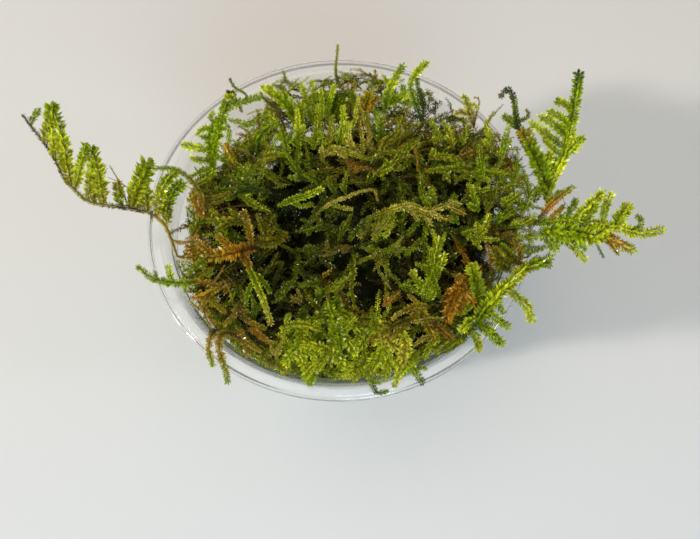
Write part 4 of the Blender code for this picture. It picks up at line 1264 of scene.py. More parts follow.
        ("leaf leaf spring", 0.7, 0.18, [(-5.1, 16.6, 46.4), (-5.9, 18.7, 50), (-6.7, 21.1, 53)]),
        ("leaf leaf spring", 0.67, 0.12, [(-4.1, 16.9, 46.6), (-4.3, 18.9, 50), (-4.9, 21.7, 53)]),
        ("leaf leaf spring", 0.59, 0.12, [(-3.3, 16.5, 46.4), (-3, 18.4, 50), (-3.1, 20.4, 52.4)]),
        ("leaf leaf spring", 0.67, 0.12, [(-2.1, 17, 47), (-1.5, 18.9, 50.2), (-0.4, 20.7, 53)]),
        ("leaf spring", 0.74, 0.12, [(-6.9, 15, 45.4), (-7.2, 16.7, 47.6), (-6.7, 18.7, 50)]),
        ("leaf spring", 0.59, 0.1, [(-6.4, 17.3, 48), (-7.3, 18.5, 49), (-7.8, 19.7, 50)]),
    ],
    "frond_back_left_band": ["moss_bright",
        ("leaf leaf spring", 1.08, 0.18, [(-7.1, 15.1, 45.6), (-8.6, 16.8, 49.4), (-10.7, 18.3, 52.2),
            (-14, 19.5, 54)]),
        ("leaf spring", 0.86, 0.12, [(-8.9, 16.7, 49), (-9.5, 18, 51), (-10.3, 19.5, 52.8)]),
        ("leaf spring", 0.79, 0.1, [(-10, 17.7, 51.4), (-11.6, 18.6, 53), (-13, 19.6, 54.2)]),
        ("leaf leaf", 0.65, 0.1, [(-7.8, 15.9, 47.4), (-6.9, 17.4, 48.6), (-7.1, 19, 49.6)]),
        ("leaf spring", 0.65, 0.1, [(-8.1, 16.6, 48.4), (-8.4, 17.8, 50), (-9.1, 19.3, 51.2)]),
    ],
    "frond_back_left_loop": ["moss_green",
        ("leaf leaf leaf leaf bark", 1.15, 0.2, [(-24.4, 7, 44.8), (-24, 9.5, 48), (-22.5, 12.1, 51),
            (-21.3, 14, 54), (-19.4, 16.1, 57)]),
        ("leaf leaf leaf", 0.85, 0.16, [(-20.9, 14.2, 54), (-18.7, 14.7, 55.6), (-16, 15.1, 56.4),
            (-13.8, 15.4, 56.6)]),
        ("bark bark bark", 0.45, 0.28, [(-9.2, 9, 46), (-9.8, 10.6, 49), (-10.3, 12.6, 52),
            (-11.4, 14.1, 55), (-13.1, 14.8, 56.2), (-14.1, 16, 57)]),
        ("leaf leaf", 0.75, 0.12, [(-20.4, 13, 53.4), (-18.6, 12.6, 53), (-16.5, 12.8, 52),
            (-14.8, 14.2, 52.2), (-13.1, 14.7, 53)]),
        ("leaf deep", 1.1, 0.16, [(-10.8, 12.8, 53), (-13, 13, 51), (-15, 12.2, 49), (-16, 10.3, 46.4)]),
        ("leaf leaf bark", 0.45, 0.22, [(-16.4, 15.4, 56.4), (-17.1, 15.8, 57.6), (-18.5, 16, 58.6),
            (-19.2, 16.9, 60)]),
        ("bark bark", 0.42, 0.14, [(-18.3, 15.1, 55.4), (-18, 14.6, 54.8), (-17.7, 13.8, 54.4)]),
        ("bark tan", 0.42, 0.14, [(-14.9, 13.1, 51.6), (-15, 14.1, 52.4), (-15.1, 15.2, 53)]),
        ("tan bark", 0.42, 0.14, [(-20.6, 9.8, 49), (-18.3, 9.7, 48), (-16.3, 8.8, 46.6)]),
        ("rust tan rust", 0.9, 0.16, [(-21.4, 10.1, 50), (-20.8, 8.9, 48.4), (-20.1, 7.8, 46.6)]),
        ("leaf leaf", 0.68, 0.1, [(-9.8, 11.7, 50.8), (-11.6, 10.9, 50), (-12.4, 9.6, 49)]),
        ("leaf spring", 0.7, 0.1, [(-22.9, 13, 52), (-23.8, 13.7, 53.2), (-23, 14.2, 54)]),
        ("leaf leaf", 0.7, 0.1, [(-21.3, 13.3, 52.8), (-20.5, 11.4, 51), (-21.4, 9.4, 48.6)]),
        ("olive leaf", 0.6, 0.1, [(-14.6, 11.7, 48.4), (-13.5, 10.3, 47.6), (-12.9, 9, 46.2)]),
        ("leaf spring", 0.8, 0.1, [(-18.5, 14.7, 55.6), (-19.2, 15.2, 56.8), (-20.2, 14.9, 57.4)]),
    ],
    "frond_back_left_comb": ["moss_green",
        ("leaf leaf leaf leaf", 1.0, 0.18, [(-24.2, 6.2, 44.6), (-24.5, 8.1, 46.6), (-24.3, 10.3, 48.8),
            (-23.9, 12.2, 50.6), (-22.5, 13.8, 52.4)]),
        ("leaf spring", 0.8, 0.12, [(-23.6, 12.5, 50.8), (-25.2, 12.4, 51.4), (-26.5, 11.2, 51.2)]),
        ("leaf leaf", 0.7, 0.1, [(-24, 11.4, 49.8), (-25, 11.2, 50.2), (-25.8, 11.2, 50.8)]),
        ("leaf spring spring", 0.95, 0.12, [(-24.1, 9.9, 48.4), (-26.6, 9.5, 49.4), (-29.2, 9.6, 50.4)]),
        ("leaf spring", 0.85, 0.12, [(-24.5, 8.2, 46.8), (-26.2, 7.8, 47.8), (-27.9, 7.8, 48.6)]),
        ("leaf leaf", 0.65, 0.1, [(-24.5, 7.3, 45.8), (-26.6, 6.1, 46.4), (-28.3, 4.7, 46.8)]),
        ("leaf leaf", 0.8, 0.1, [(-24.2, 9.3, 47.6), (-22.3, 8.4, 47.4), (-20.1, 8.3, 46.8)]),
    ],
}

# Fronds that lie on the mat, written the same way.
matFronds = {
    "shoot_orange_left": ["moss_brown",
        ("bark rust tan rust", 1.4, 0.2, [(-14.9, -7.9, 42), (-17.7, -9.6, 44.4), (-20.6, -10.9, 45.6),
            (-24.3, -11.2, 45.2), (-28, -9.4, 43.7)]),
        ("rust tan tan", 0.8, 0.12, [(-16.6, -9, 43.6), (-16.9, -6.4, 45.8), (-17.6, -3.9, 48.5)]),
        ("rust tan", 0.9, 0.12, [(-20, -10.6, 45.3), (-20.9, -9.3, 46.5), (-22.3, -8.3, 47.3)]),
        ("bark rust", 0.9, 0.12, [(-18.6, -9.9, 44.6), (-17.4, -12, 44.8), (-16.6, -14, 44.7)]),
        ("olive bark", 1.3, 0.14, [(-15.6, -7.7, 42.6), (-13.7, -5.6, 43.3), (-13.2, -3.1, 45)]),
        ("rust tan", 0.8, 0.1, [(-23.2, -11.1, 45.4), (-24.8, -9.8, 46.1), (-26.5, -8.5, 45.9)]),
        ("bark tan", 0.0, 0.13, [(-19.1, -12.7, 45.5), (-21.5, -14.8, 45.9), (-24.6, -17, 43.9)]),
    ],
    "shoot_green_left": ["moss_bright",
        ("leaf leaf spring straw", 0.72, 0.16, [(-17.2, -12.7, 44.6), (-15.2, -17.7, 47.1),
            (-13.6, -21.5, 47.4), (-12.5, -25, 46)]),
        ("leaf leaf", 0.6, 0.1, [(-16.1, -14.9, 45.8), (-14.2, -16.8, 46.5), (-12.7, -19.1, 46.3)]),
        ("leaf leaf", 0.55, 0.1, [(-15.6, -16.8, 46.5), (-16.6, -19.2, 46.7), (-17, -21.5, 45.9)]),
    ],
    "shoot_light_blade": ["moss_yellow",
        ("leaf leaf spring", 0.75, 0.16, [(-11.9, -0.9, 44.7), (-9, -0.4, 46.1), (-6.3, -0.3, 47.2),
            (-3.3, 0.5, 48.3)]),
        ("leaf leaf", 0.6, 0.1, [(-9.4, -0.6, 45.7), (-7.2, -1.4, 45.4), (-5.2, -1.4, 46.1)]),
    ],
    "shoot_pale_strand": ["moss_yellow",
        ("leaf straw straw straw tan", 0.42, 0.2, [(-4.6, -2.8, 44.7), (-1.8, -2.4, 47.8), (1.3, -2.3, 49.9),
            (4.1, -1.6, 50.7), (6.3, -1.2, 50.2), (6.8, -2.6, 49.1)]),
        ("leaf straw", 0.5, 0.1, [(-1.5, -2.5, 48.2), (0.4, -3.7, 48.4), (2.2, -4, 48.5)]),
    ],
    "shoot_yellow_curve": ["moss_yellow",
        ("leaf olive straw straw straw tan", 0.75, 0.2, [(3.6, -6.3, 47.7), (7.2, -5.7, 49.4),
            (10.2, -5.2, 50.5), (12.9, -4.9, 50.6), (15.9, -5.5, 49.7), (19.3, -4.4, 49.4),
            (22.7, -5.1, 47.9)]),
        ("leaf spring", 0.8, 0.1, [(7.7, -5.6, 49.6), (7.1, -8.1, 49.3), (5.9, -10.4, 48.4)]),
        ("leaf spring", 0.8, 0.1, [(9.5, -5.5, 50.3), (8.9, -7.9, 49.9), (7.9, -10, 49.1)]),
        ("leaf straw", 0.7, 0.1, [(5.7, -6.2, 48.8), (4.6, -8, 48.5), (3.3, -9.4, 47.7)]),
        ("olive straw", 0.7, 0.1, [(13.3, -5, 50.4), (15.1, -6.4, 49.8), (16.3, -7.7, 48.8)]),
        ("straw tan", 0.7, 0.1, [(15.9, -5.5, 49.7), (17.9, -6.4, 48.9), (19.8, -6.4, 48.2)]),
        ("straw straw", 0.6, 0.1, [(18.9, -4.6, 49.4), (20.3, -3.9, 49.8), (21.8, -4.1, 49.5)]),
        ("olive straw", 0.6, 0.1, [(11.5, -5, 50.5), (12.9, -5.9, 50.3), (14, -7.2, 49.5)]),
    ],
    "shoot_front_middle": ["moss_bright",
        ("leaf leaf spring spring", 1.25, 0.18, [(-0.8, -20, 47), (-1, -24, 47.2), (-1.6, -28, 46.2),
            (-2.2, -31.6, 44.4)]),
        ("deep leaf", 1.1, 0.1, [(-0.8, -22.2, 47.4), (-2.9, -23.5, 47.1), (-5.2, -24.9, 46.1)]),
        ("leaf spring", 1.1, 0.1, [(-1, -23.2, 47.2), (0.9, -24.7, 47.1), (2.6, -26.5, 45.8)]),
        ("deep leaf", 1.15, 0.1, [(-1.2, -25.6, 46.8), (-3.7, -27.2, 46.4), (-5.8, -29, 45.4)]),
        ("leaf spring", 1.15, 0.1, [(-1.4, -26.6, 46.5), (0.6, -28.2, 45.7), (2.1, -30.1, 44.2)]),
        ("leaf spring", 1.1, 0.1, [(-1.8, -28.9, 45.7), (-3.7, -30.4, 45.2), (-5.2, -32.2, 44.1)]),
        ("leaf spring", 1.1, 0.1, [(-2, -29.8, 45.2), (-0.4, -31.3, 44.2), (0.6, -33, 43.1)]),
    ],
    "shoot_front_fan_left": ["moss_bright",
        ("deep leaf spring", 1.2, 0.16, [(-6.5, -21.5, 45.5), (-7.1, -25.2, 46.1), (-7.5, -28.7, 45.8),
            (-7.1, -31.8, 44.2)]),
        ("leaf spring", 0.9, 0.1, [(-2.3, -25.7, 46.2), (-5.4, -25.4, 46.5), (-7.8, -25.7, 46.4),
            (-10.4, -26.2, 45.6)]),
        ("deep leaf", 1.0, 0.1, [(-7.1, -25.6, 46.1), (-9.2, -27.5, 45.5), (-10.7, -29.2, 44.1)]),
        ("leaf spring", 1.1, 0.1, [(-7.3, -27.7, 46), (-5.4, -29.8, 45.6), (-4.1, -31.6, 44.4)]),
        ("leaf spring", 1.0, 0.1, [(-7.5, -29.1, 45.7), (-9.3, -30.4, 44.5), (-10.4, -31.5, 43.4)]),
    ],
    "shoot_front_fan_right": ["moss_bright",
        ("leaf spring spring", 1.2, 0.16, [(5.1, -23.3, 46.1), (6, -26.7, 46), (6.6, -29.7, 45.2),
            (7.2, -32.4, 43.6)]),
        ("leaf spring", 1.1, 0.1, [(5.7, -25.6, 46.1), (3.9, -27.5, 45.5), (2.5, -29.3, 44.3)]),
        ("straw spring", 1.3, 0.1, [(6.3, -27.7, 45.9), (8.6, -29.5, 45.6), (11, -30.7, 44.7)]),
        ("spring straw", 1.2, 0.1, [(10.2, -26.6, 45.6), (10.7, -29.5, 45.5), (10, -32.2, 44)]),
        ("leaf spring", 1.1, 0.1, [(6.7, -30, 45.1), (5.2, -31.4, 44.2), (4.1, -32.9, 43)]),
    ],
    "shoot_front_right": ["moss_green",
        ("leaf leaf spring", 1.1, 0.16, [(14.5, -21.3, 45), (15.6, -18, 47.1), (16.4, -14.8, 48.5),
            (17.4, -11.2, 49.3)]),
        ("leaf spring", 0.9, 0.1, [(15, -19.8, 46.1), (13.4, -18.3, 47.2), (12.4, -16.7, 47.9)]),
        ("leaf spring", 0.9, 0.1, [(15.7, -17.4, 47.4), (17.4, -15.7, 48), (18.2, -13.6, 48.4)]),
        ("olive tan", 1.1, 0.14, [(12.8, -21, 45.4), (14.2, -24.6, 45.7), (15.8, -27.4, 44.3)]),
        ("tan olive", 0.9, 0.1, [(13.4, -23, 45.6), (11.3, -25.3, 45.8), (9.8, -27.3, 45.3)]),
        ("bark rust", 0.9, 0.1, [(14.5, -25.2, 45.5), (17, -26.1, 44.6), (19.2, -27.3, 42.6)]),
    ],
    "shoot_rust_right": ["moss_rust",
        ("rust rust rust", 1.35, 0.16, [(21.8, -17, 45.3), (20.3, -20, 46.2), (19, -22.5, 45.8),
            (18.2, -24.6, 44.4)]),
        ("rust tan", 1.1, 0.12, [(22.4, -18, 45.4), (21.7, -20.9, 45.4), (20.6, -23.2, 44.5)]),
        ("rust bark", 1.0, 0.12, [(20.2, -19.3, 46.2), (18.6, -20.7, 46.2), (17.5, -22.3, 45.4)]),
        ("rust rust", 1.0, 0.12, [(21, -19.7, 46.2), (22.7, -20.8, 45.2), (23.4, -22.2, 43.8)]),
    ],
    "shoot_right_middle": ["moss_green",
        ("leaf leaf spring", 1.35, 0.18, [(24.1, -21.4, 43.5), (24.1, -19.7, 45.6), (23.6, -18.2, 47.4),
            (22.9, -16.2, 48.8)]),
        ("leaf leaf", 1.0, 0.1, [(24.2, -20.4, 44.8), (26.1, -19.2, 44.6), (28.2, -18.1, 43.9)]),
        ("leaf leaf", 0.9, 0.1, [(24.2, -20.9, 44.2), (22.3, -22.1, 44.7), (20.8, -23.4, 44.1)]),
    ],
}

# Shoots on top of the mat that belong to it: tints from foot to tip, leaf length and the route in
# millimetres, each point as (x, y, height over the mat).
topRoutes = [
    ("olive leaf spring", 0.9, [(31, -2.5, 0.5), (33.5, -2, 1.2), (36, -3, 1.5), (38.5, -3.5, 1.2)]),
    ("leaf leaf spring", 0.9, [(30.5, 0.5, 0.5), (32.5, 1.5, 1.5), (35, 1.5, 2), (36.5, 1, 2)]),
    ("olive olive leaf", 0.85, [(32, -4.5, 0.8), (34.5, -5.5, 1.5), (37, -6, 1.6), (40, -5.5, 1.2)]),
    ("leaf spring", 0.8, [(32.5, -7, 0.8), (35, -8, 1.5), (38, -8, 1.4), (40.5, -7.5, 1)]),
    ("tan olive leaf", 0.8, [(30.5, -9.5, 0.5), (33, -10.5, 1.2), (35.5, -10.5, 1.2), (38.5, -10, 0.8)]),
    ("tan tan", 0.75, [(29, -11, 0.5), (31, -12.5, 1), (33.5, -12.5, 1), (35, -12, 0.8)]),
    ("olive tan", 0.8, [(30, -13, 0.3), (32.5, -13.5, 1), (35, -13.5, 1.2), (37, -12, 1)]),
    ("leaf leaf spring", 0.85, [(29, -14.5, 0.3), (31.5, -15, 1), (34, -14.5, 1.2), (37, -13, 1.2),
        (39, -11.5, 1)]),
    ("olive leaf", 0.85, [(27, -4.5, 1), (28, -3, 2), (29, -1, 2.6), (29.5, 1.5, 2.8)]),
    ("olive leaf spring", 0.85, [(24.5, -1, 1), (25.5, 0.5, 2), (27, 2.5, 2.6), (27.5, 5, 2.8)]),
    ("leaf spring", 0.8, [(28.5, 3, 1), (29.5, 4.5, 2), (31, 6.5, 2.6), (31.5, 9, 2.8)]),
    ("olive leaf", 0.8, [(21.5, 1, 1), (23, 3, 1.8), (23.5, 5, 2.4), (23.5, 8, 2.6)]),
    ("bark olive leaf", 0.85, [(18.5, -1, 0.8), (17, 0.5, 1.6), (15.5, 3, 2.2), (15, 6, 2.4)]),
    ("leaf spring spring", 0.7, [(32.5, 3.5, 1), (33.5, 5, 2), (34.5, 7.5, 2.4), (34.5, 10, 2.4)]),
    ("deep leaf", 0.85, [(25, -8, 0.8), (26.5, -7, 1.6), (28.5, -6, 1.8), (31, -5.5, 1.6)]),
    ("leaf leaf", 0.85, [(22, -6.5, 0.6), (21, -5, 1.4), (20.5, -3.5, 1.8), (21, -1.5, 2)]),
    ("tan rust", 0.35, [(6.5, 7.5, 1), (5.5, 10.5, 2), (4, 13, 2.6), (2, 14.5, 2.6)]),
    ("tan straw", 0.3, [(6.5, 7, 1), (7.5, 9.5, 2.2), (8.5, 12, 3), (8, 15, 3.2)]),
    ("rust tan", 0.3, [(6.5, 7, 1), (9, 8, 2), (11.5, 9, 2.4), (14, 10, 2.2)]),
    ("rust olive", 0.35, [(10, 7.5, 1), (12, 9, 2), (13.5, 11, 2.6), (16, 13, 2.6)]),
    ("olive spring", 0.6, [(3, 16.5, 1.5), (3.5, 18.5, 2.6), (3, 21, 3.4), (2, 23.5, 3.8)]),
    ("olive leaf", 0.6, [(10, 16.5, 1.5), (11.5, 18.5, 2.6), (13, 21, 3.2), (15, 22.5, 3.4)]),
    ("tan tan", 0.3, [(16, 10, 1), (18, 10.5, 1.8), (20.5, 9.5, 2), (22.5, 8.5, 1.6)]),
    ("olive leaf spring", 0.6, [(12, 12.5, 1.5), (13.5, 14, 2.6), (15.5, 16, 3.2), (18, 17.5, 3.4)]),
    ("rust rust", 0.3, [(22.5, 7.5, 1), (24, 9.5, 2), (25.5, 11, 2.4), (27, 12, 2.2)]),
    ("spring leaf", 0.5, [(20.5, 15, 1.5), (22, 16.5, 2.4), (23.5, 17.5, 2.8), (25, 18, 2.8)]),
    ("leaf spring", 1.2, [(-18.5, 0.5, 2.4), (-16, -1.5, 3), (-13.5, -2, 2.6)]),
    ("leaf leaf olive", 1.1, [(-22.5, 4.5, 2), (-19, 5, 3.2), (-14.5, 4.5, 3.4), (-11, 2.5, 2.4)]),
    ("olive olive bark", 1.7, [(-11.5, -4.5, 2.4), (-12, -7, 3.2), (-14.5, -8, 3.4), (-16.5, -7, 3)]),
    ("olive olive", 1.5, [(-15.5, -3, 3.4), (-14.5, -5, 3), (-14, -7, 2.4)]),
    ("olive leaf", 1.1, [(-14.5, -3, 3), (-13, -4, 3.6), (-11.5, -5.5, 3)]),
    ("deep olive", 1.2, [(-15.5, -11.5, 1), (-14, -9, 1.6), (-12.5, -7.5, 1.8)]),
    ("deep olive", 1.1, [(-14.5, -15, 0.8), (-13, -12.5, 1.4), (-12, -9, 1.6)]),
    ("tan olive tan", 0.8, [(-29, 2.5, 2.6), (-26, 1, 3.4), (-23, 0.5, 3.6), (-20.5, 1, 3.2)]),
    ("tan bark", 0.4, [(-25, 0, 3), (-22.5, -1, 3.6), (-20, 0, 3.6)]),
    ("olive leaf leaf", 1.2, [(-28, -6.5, 1.6), (-26.5, -4, 2.6), (-26.5, -1, 3.2)]),
    ("leaf leaf spring", 1.3, [(-21, -8.5, 1.4), (-22, -6, 2.4), (-23, -4, 2.8)]),
    ("deep leaf", 1.2, [(-20.5, -5, 1.2), (-21.5, -8, 1.8), (-23, -9, 1.6)]),
    ("tan olive leaf", 1.0, [(-29, -8, 1.8), (-26.5, -10.5, 2.6), (-25, -12.5, 2.4)]),
    ("leaf leaf spring", 1.0, [(-24.5, -11, 2), (-26.5, -13, 2.4), (-28.5, -14, 2)]),
    ("olive leaf", 0.8, [(-23, -13.5, 2.4), (-25, -14.5, 2.8), (-27.5, -15, 2)]),
    ("tan rust", 0.35, [(-21, -13.5, 3), (-22, -15.5, 3.2), (-23, -16.5, 2.6)]),
    ("tan straw", 0.3, [(-21, -16.5, 2.8), (-20, -18.5, 3.2), (-19.5, -20, 2.6)]),
    ("bark olive tan", 1.1, [(-25, -16.5, 1.6), (-23, -19.5, 2.4), (-21, -22, 2.4)]),
    ("bark tan", 1.0, [(-17.5, -20, 1.8), (-19, -22.5, 2.4), (-21, -24, 2)]),
    ("olive tan", 0.9, [(-26.5, -18.5, 1), (-24.5, -21, 1.8), (-23, -23.5, 1.6)]),
    ("bark tan olive", 0.9, [(-18.5, -22.5, 2.2), (-16, -24.5, 2.8), (-13.5, -25.5, 2.4)]),
    ("bark tan tan", 1.0, [(-19.5, -25.5, 1.8), (-17, -27.5, 2.4), (-14.5, -29, 1.8)]),
    ("rust tan", 0.9, [(-16.5, -25, 2.2), (-14, -27, 2.8), (-12, -28.5, 2.2)]),
    ("bark olive", 0.8, [(-14.5, -29, 1.6), (-12.5, -31, 1.8), (-10.5, -32, 1)]),
    ("olive leaf", 1.0, [(-13, -27.5, 2.2), (-11.5, -29, 2.6), (-9.5, -29.5, 2.2)]),
    ("bark tan", 0.0, [(-20.5, -25, 2.4), (-17, -26.5, 3), (-14.5, -29, 2.4)]),
    ("deep leaf", 0.9, [(-16, -24, 1.2), (-15.5, -22, 2), (-16, -19.5, 2.2)]),
    ("straw straw spring", 0.7, [(-12, -30.5, 1.8), (-11, -29, 3), (-10, -27, 3.6)]),
    ("leaf spring spring leaf", 1.0, [(-11, -25.5, 2.4), (-8.5, -25.5, 3.6), (-6, -26, 4), (-3.5, -27, 3.6),
        (-2.5, -28, 3)]),
    ("leaf spring spring", 1.1, [(-10, -29.5, 2.4), (-8, -30.5, 2.8), (-6.5, -32, 2)]),
    ("spring spring", 1.4, [(-2.5, -30, 3), (-4.5, -29.5, 3.6), (-7, -29, 3.4)]),
    ("spring spring", 1.4, [(-3, -31.5, 2.6), (-5, -32, 3), (-7, -33, 1.6)]),
    ("leaf spring", 1.4, [(-4, -31, 3), (-5.5, -33, 2.2), (-6.5, -34, 1)]),
    ("leaf leaf leaf", 1.8, [(-0.5, -30, 3.2), (-1, -27.5, 4.2), (-2, -24, 4.2), (-2.5, -22, 3.6)]),
    ("leaf spring", 1.2, [(-1.5, -28, 4.2), (0.5, -26.5, 4.4), (2, -25, 4)]),
    ("deep leaf", 1.0, [(-3, -17.5, 0.8), (-5.5, -17.5, 1.6), (-7.5, -17.5, 1.2)]),
    ("tan straw", 0.7, [(-7.5, -21.5, 1.4), (-7.5, -20, 2.4), (-8, -19, 3)]),
    ("deep leaf leaf", 0.9, [(0, -6.5, 1.6), (-3.5, -6, 2.4), (-6.5, -5.5, 2.6), (-8.5, -5, 2)]),
    ("deep leaf", 0.8, [(-3.5, -3, 1.6), (-5.5, -4, 2.4), (-7.5, -5, 2.4)]),
    ("leaf spring", 1.0, [(-0.5, -9, 2.6), (1, -8, 3.8), (2, -6, 4.4)]),
    ("leaf leaf", 1.0, [(4.5, -7, 3), (3, -8.5, 3.4), (1.5, -10, 2.6)]),
    ("leaf spring", 0.9, [(1, -1, 2), (1, 0.5, 3.2), (1.5, 2.5, 4)]),
    ("tan tan straw", 0.8, [(2, -11.5, 2.6), (0, -11.5, 3.2), (-2, -12.5, 3), (-4, -12, 2.4)]),
    ("tan straw", 0.5, [(-2, -12.5, 3), (-2.5, -11, 3.6), (-2.5, -9.5, 4)]),
    ("deep leaf", 0.8, [(-5.5, -13.5, 0.8), (-6, -11, 1.6), (-6, -8.5, 2.4)]),
    ("deep deep leaf", 0.9, [(-4.5, -16.5, 0.8), (-7, -14.5, 1.4), (-8.5, -11.5, 1.2)]),
    ("leaf leaf", 1.0, [(-2, -19.5, 1.8), (0, -18.5, 2.6), (2, -17, 2.8)]),
    ("deep leaf spring", 1.0, [(-4.5, -21, 1.4), (-3, -19.5, 2.2), (-0.5, -19.5, 2.6)]),
    ("leaf leaf spring", 0.85, [(3.5, -11.5, 2.2), (6.5, -13, 3), (9.5, -13, 3.4), (14, -12.5, 3)]),
    ("spring straw", 0.5, [(9, -13, 3.2), (10, -12, 4), (11, -11, 4.2)]),
    ("leaf leaf spring", 1.0, [(17.5, -21, 2), (16, -18, 3.6), (15.5, -15, 4.2), (15.5, -12.5, 4)]),
    ("leaf spring", 0.9, [(17.5, -15, 3.6), (17, -12.5, 4.2), (16.5, -9.5, 4)]),
    ("leaf spring", 1.0, [(15, -21.5, 2.4), (16, -20, 3.4), (15, -18, 3.6)]),
    ("leaf leaf", 1.1, [(16.5, -5.5, 2.6), (15.5, -3, 3.4), (15, -0.5, 3.6), (15, 2.5, 3.4)]),
    ("leaf spring", 1.1, [(17.5, -4, 2.6), (17, -2.5, 3.4), (17, -1, 3.8)]),
    ("leaf spring spring", 1.2, [(24.5, -10, 2.6), (26, -8.5, 3.8), (27, -6.5, 4.2)]),
    ("leaf spring", 1.0, [(22, -8.5, 2.4), (23.5, -10, 3.4), (26, -10.5, 3.6), (28.5, -10.5, 3.2)]),
    ("leaf leaf spring", 1.2, [(25.5, -5, 2.6), (24.5, -3.5, 3.8), (24, -1, 4.4)]),
    ("leaf spring", 1.3, [(29.5, -4, 3), (31.5, -3, 4), (33.5, -1.5, 4.4)]),
    ("leaf leaf", 1.2, [(28.5, -7, 2.6), (31, -5.5, 3.8), (33, -4.5, 4)]),
    ("leaf spring", 1.2, [(30.5, -8, 3), (33.5, -7.5, 3.6), (36, -5.5, 3.6)]),
    ("olive olive", 1.7, [(30.5, -15, 1.6), (28.5, -13.5, 2.8), (27.5, -12, 3.2)]),
    ("olive leaf", 1.4, [(32, -14, 2), (30, -12.5, 3), (29, -11.5, 3.2)]),
    ("tan tan", 1.1, [(32.5, -14.5, 1.6), (32.5, -12.5, 2.8), (31.5, -10.5, 3.2)]),
    ("tan straw", 0.9, [(30.5, -13.5, 1.6), (31.5, -12, 2.6), (33.5, -11, 2.8)]),
    ("bark tan", 0.9, [(28, -10.5, 2.4), (30, -9.5, 3), (32, -9.5, 3)]),
    ("olive leaf spring", 1.1, [(31, -10.5, 3), (34, -10, 3.6), (37, -9.5, 3.4)]),
    ("leaf leaf", 1.1, [(32, -12, 2.4), (35, -12, 3), (37.5, -11, 3)]),
    ("leaf spring", 1.1, [(24, -21, 2), (26.5, -19.5, 3), (29.5, -17.5, 3.2)]),
    ("deep leaf", 1.0, [(23, -23.5, 1.4), (25.5, -22.5, 2.2), (27.5, -22.5, 2)]),
    ("leaf spring", 1.0, [(21, -25.5, 1.2), (24, -24.5, 2), (27.5, -24.5, 1.6)]),
    ("straw spring", 0.9, [(5.5, -10, 3), (7.5, -8.5, 4.2), (9, -6.5, 4.6)]),
    ("leaf straw", 0.5, [(6, -15, 2.6), (7, -17.5, 3), (8.5, -19.5, 2.6)]),
    ("tan straw", 0.7, [(5, -13.5, 2.4), (7, -15, 3), (8.5, -16.5, 2.6)]),
    ("leaf leaf", 1.0, [(10, -18.5, 2), (12.5, -19.5, 2.6), (14.5, -20.5, 2.4)]),
    ("rust tan", 0.9, [(7, -22.5, 2), (8.5, -21.5, 3), (10, -20, 3.2)]),
    ("olive tan straw", 0.9, [(15.5, -22.5, 2.6), (13, -22.5, 3.4), (10, -24, 3.6), (8.5, -25, 3.2)]),
    ("bark olive tan", 1.1, [(11.5, -24.5, 2.8), (8.5, -26.5, 3.6), (5.5, -28, 3.4), (4, -28.5, 2.6)]),
    ("tan straw", 0.9, [(9.5, -27, 3.2), (7, -28.5, 3.6), (5, -29, 2.8)]),
    ("olive straw", 0.9, [(17.5, -24.5, 2.6), (15, -25, 3.4), (12.5, -25.5, 3.6)]),
    ("tan straw", 0.8, [(15.5, -27.5, 2.6), (14, -28, 3.4), (12, -29.5, 3)]),
    ("leaf spring", 1.3, [(7, -29, 3.4), (6, -31.5, 3.6), (5, -33, 2.4)]),
    ("straw spring", 1.4, [(10.5, -29, 3.4), (10, -31.5, 3.8), (9, -33.5, 2.6)]),
    ("leaf spring", 1.3, [(13, -30, 2.6), (11.5, -31.5, 2.8), (10.5, -33.5, 1.8)]),
    ("spring spring", 1.3, [(8, -30.5, 3.6), (7.5, -32.5, 3.2), (7, -34.5, 1.6)]),
    ("leaf spring", 1.0, [(21, -26.5, 1.2), (18.5, -28.5, 1.8), (16, -30, 1.6)]),
    ("leaf spring", 1.0, [(23, -25, 1.2), (21, -27.5, 1.4), (18, -29.5, 1)]),
    ("olive spring", 1.0, [(17, -27, 2.2), (15, -29, 2.4), (14, -31, 1.4)]),
    ("rust rust", 1.2, [(22.5, -16, 2.6), (21, -19.5, 3.2), (19.5, -22.5, 2.6)]),
    ("rust tan", 1.1, [(23.5, -18, 2.4), (21.5, -20, 3.2), (19, -21, 2.8)]),
    ("tan rust", 0.9, [(20, -16.5, 2.6), (21, -18.5, 3.2), (23, -21, 2.6)]),
    ("olive leaf olive", 1.1, [(26.5, 4, 2), (23, 3.5, 3.2), (19, 3, 3.4), (16, 3.5, 2.8)]),
    ("bark rust bark", 0.9, [(28, 7.5, 2.4), (25.5, 7.5, 3.4), (22.5, 6, 3.2)]),
    ("olive straw spring", 1.0, [(3.5, 7, 3), (2, 9.5, 6), (2, 12.5, 8)]),
    ("olive straw tan", 0.8, [(4.5, 6, 3), (4.5, 9, 6.4), (4, 13, 9)]),
    ("tan straw", 0.7, [(6.5, 8, 4), (5.5, 10.5, 7.6), (4.5, 14, 10)]),
    ("rust bark", 0.9, [(1.5, 4.5, 2), (3, 5, 3), (5.5, 5.5, 3)]),
    ("rust rust", 0.7, [(2.5, 3.5, 2.2), (4.5, 4, 3.2), (6.5, 3.5, 3)]),
    ("bark rust", 0.9, [(0, 7, 2.4), (2, 6.5, 3.4), (4.5, 7, 3.6)]),
    ("deep leaf leaf", 1.3, [(9, 10.5, 3), (8, 13.5, 5.6), (7, 17, 7.4)]),
    ("deep leaf", 1.3, [(7.5, 11.5, 3), (6, 14.5, 5), (5, 16.5, 6.4)]),
    ("olive leaf", 1.2, [(11, 9.5, 3), (11.5, 12, 5), (12.5, 15, 6.4)]),
    ("olive olive leaf", 1.3, [(8, 6.5, 3), (8.5, 8.5, 5), (10.5, 10.5, 6)]),
    ("olive leaf", 1.2, [(11.5, 6, 3), (13, 8, 4.6), (15, 9, 5.4)]),
    ("tan straw", 0.5, [(11, 8, 4), (13, 8.5, 5), (15.5, 8.5, 5)]),
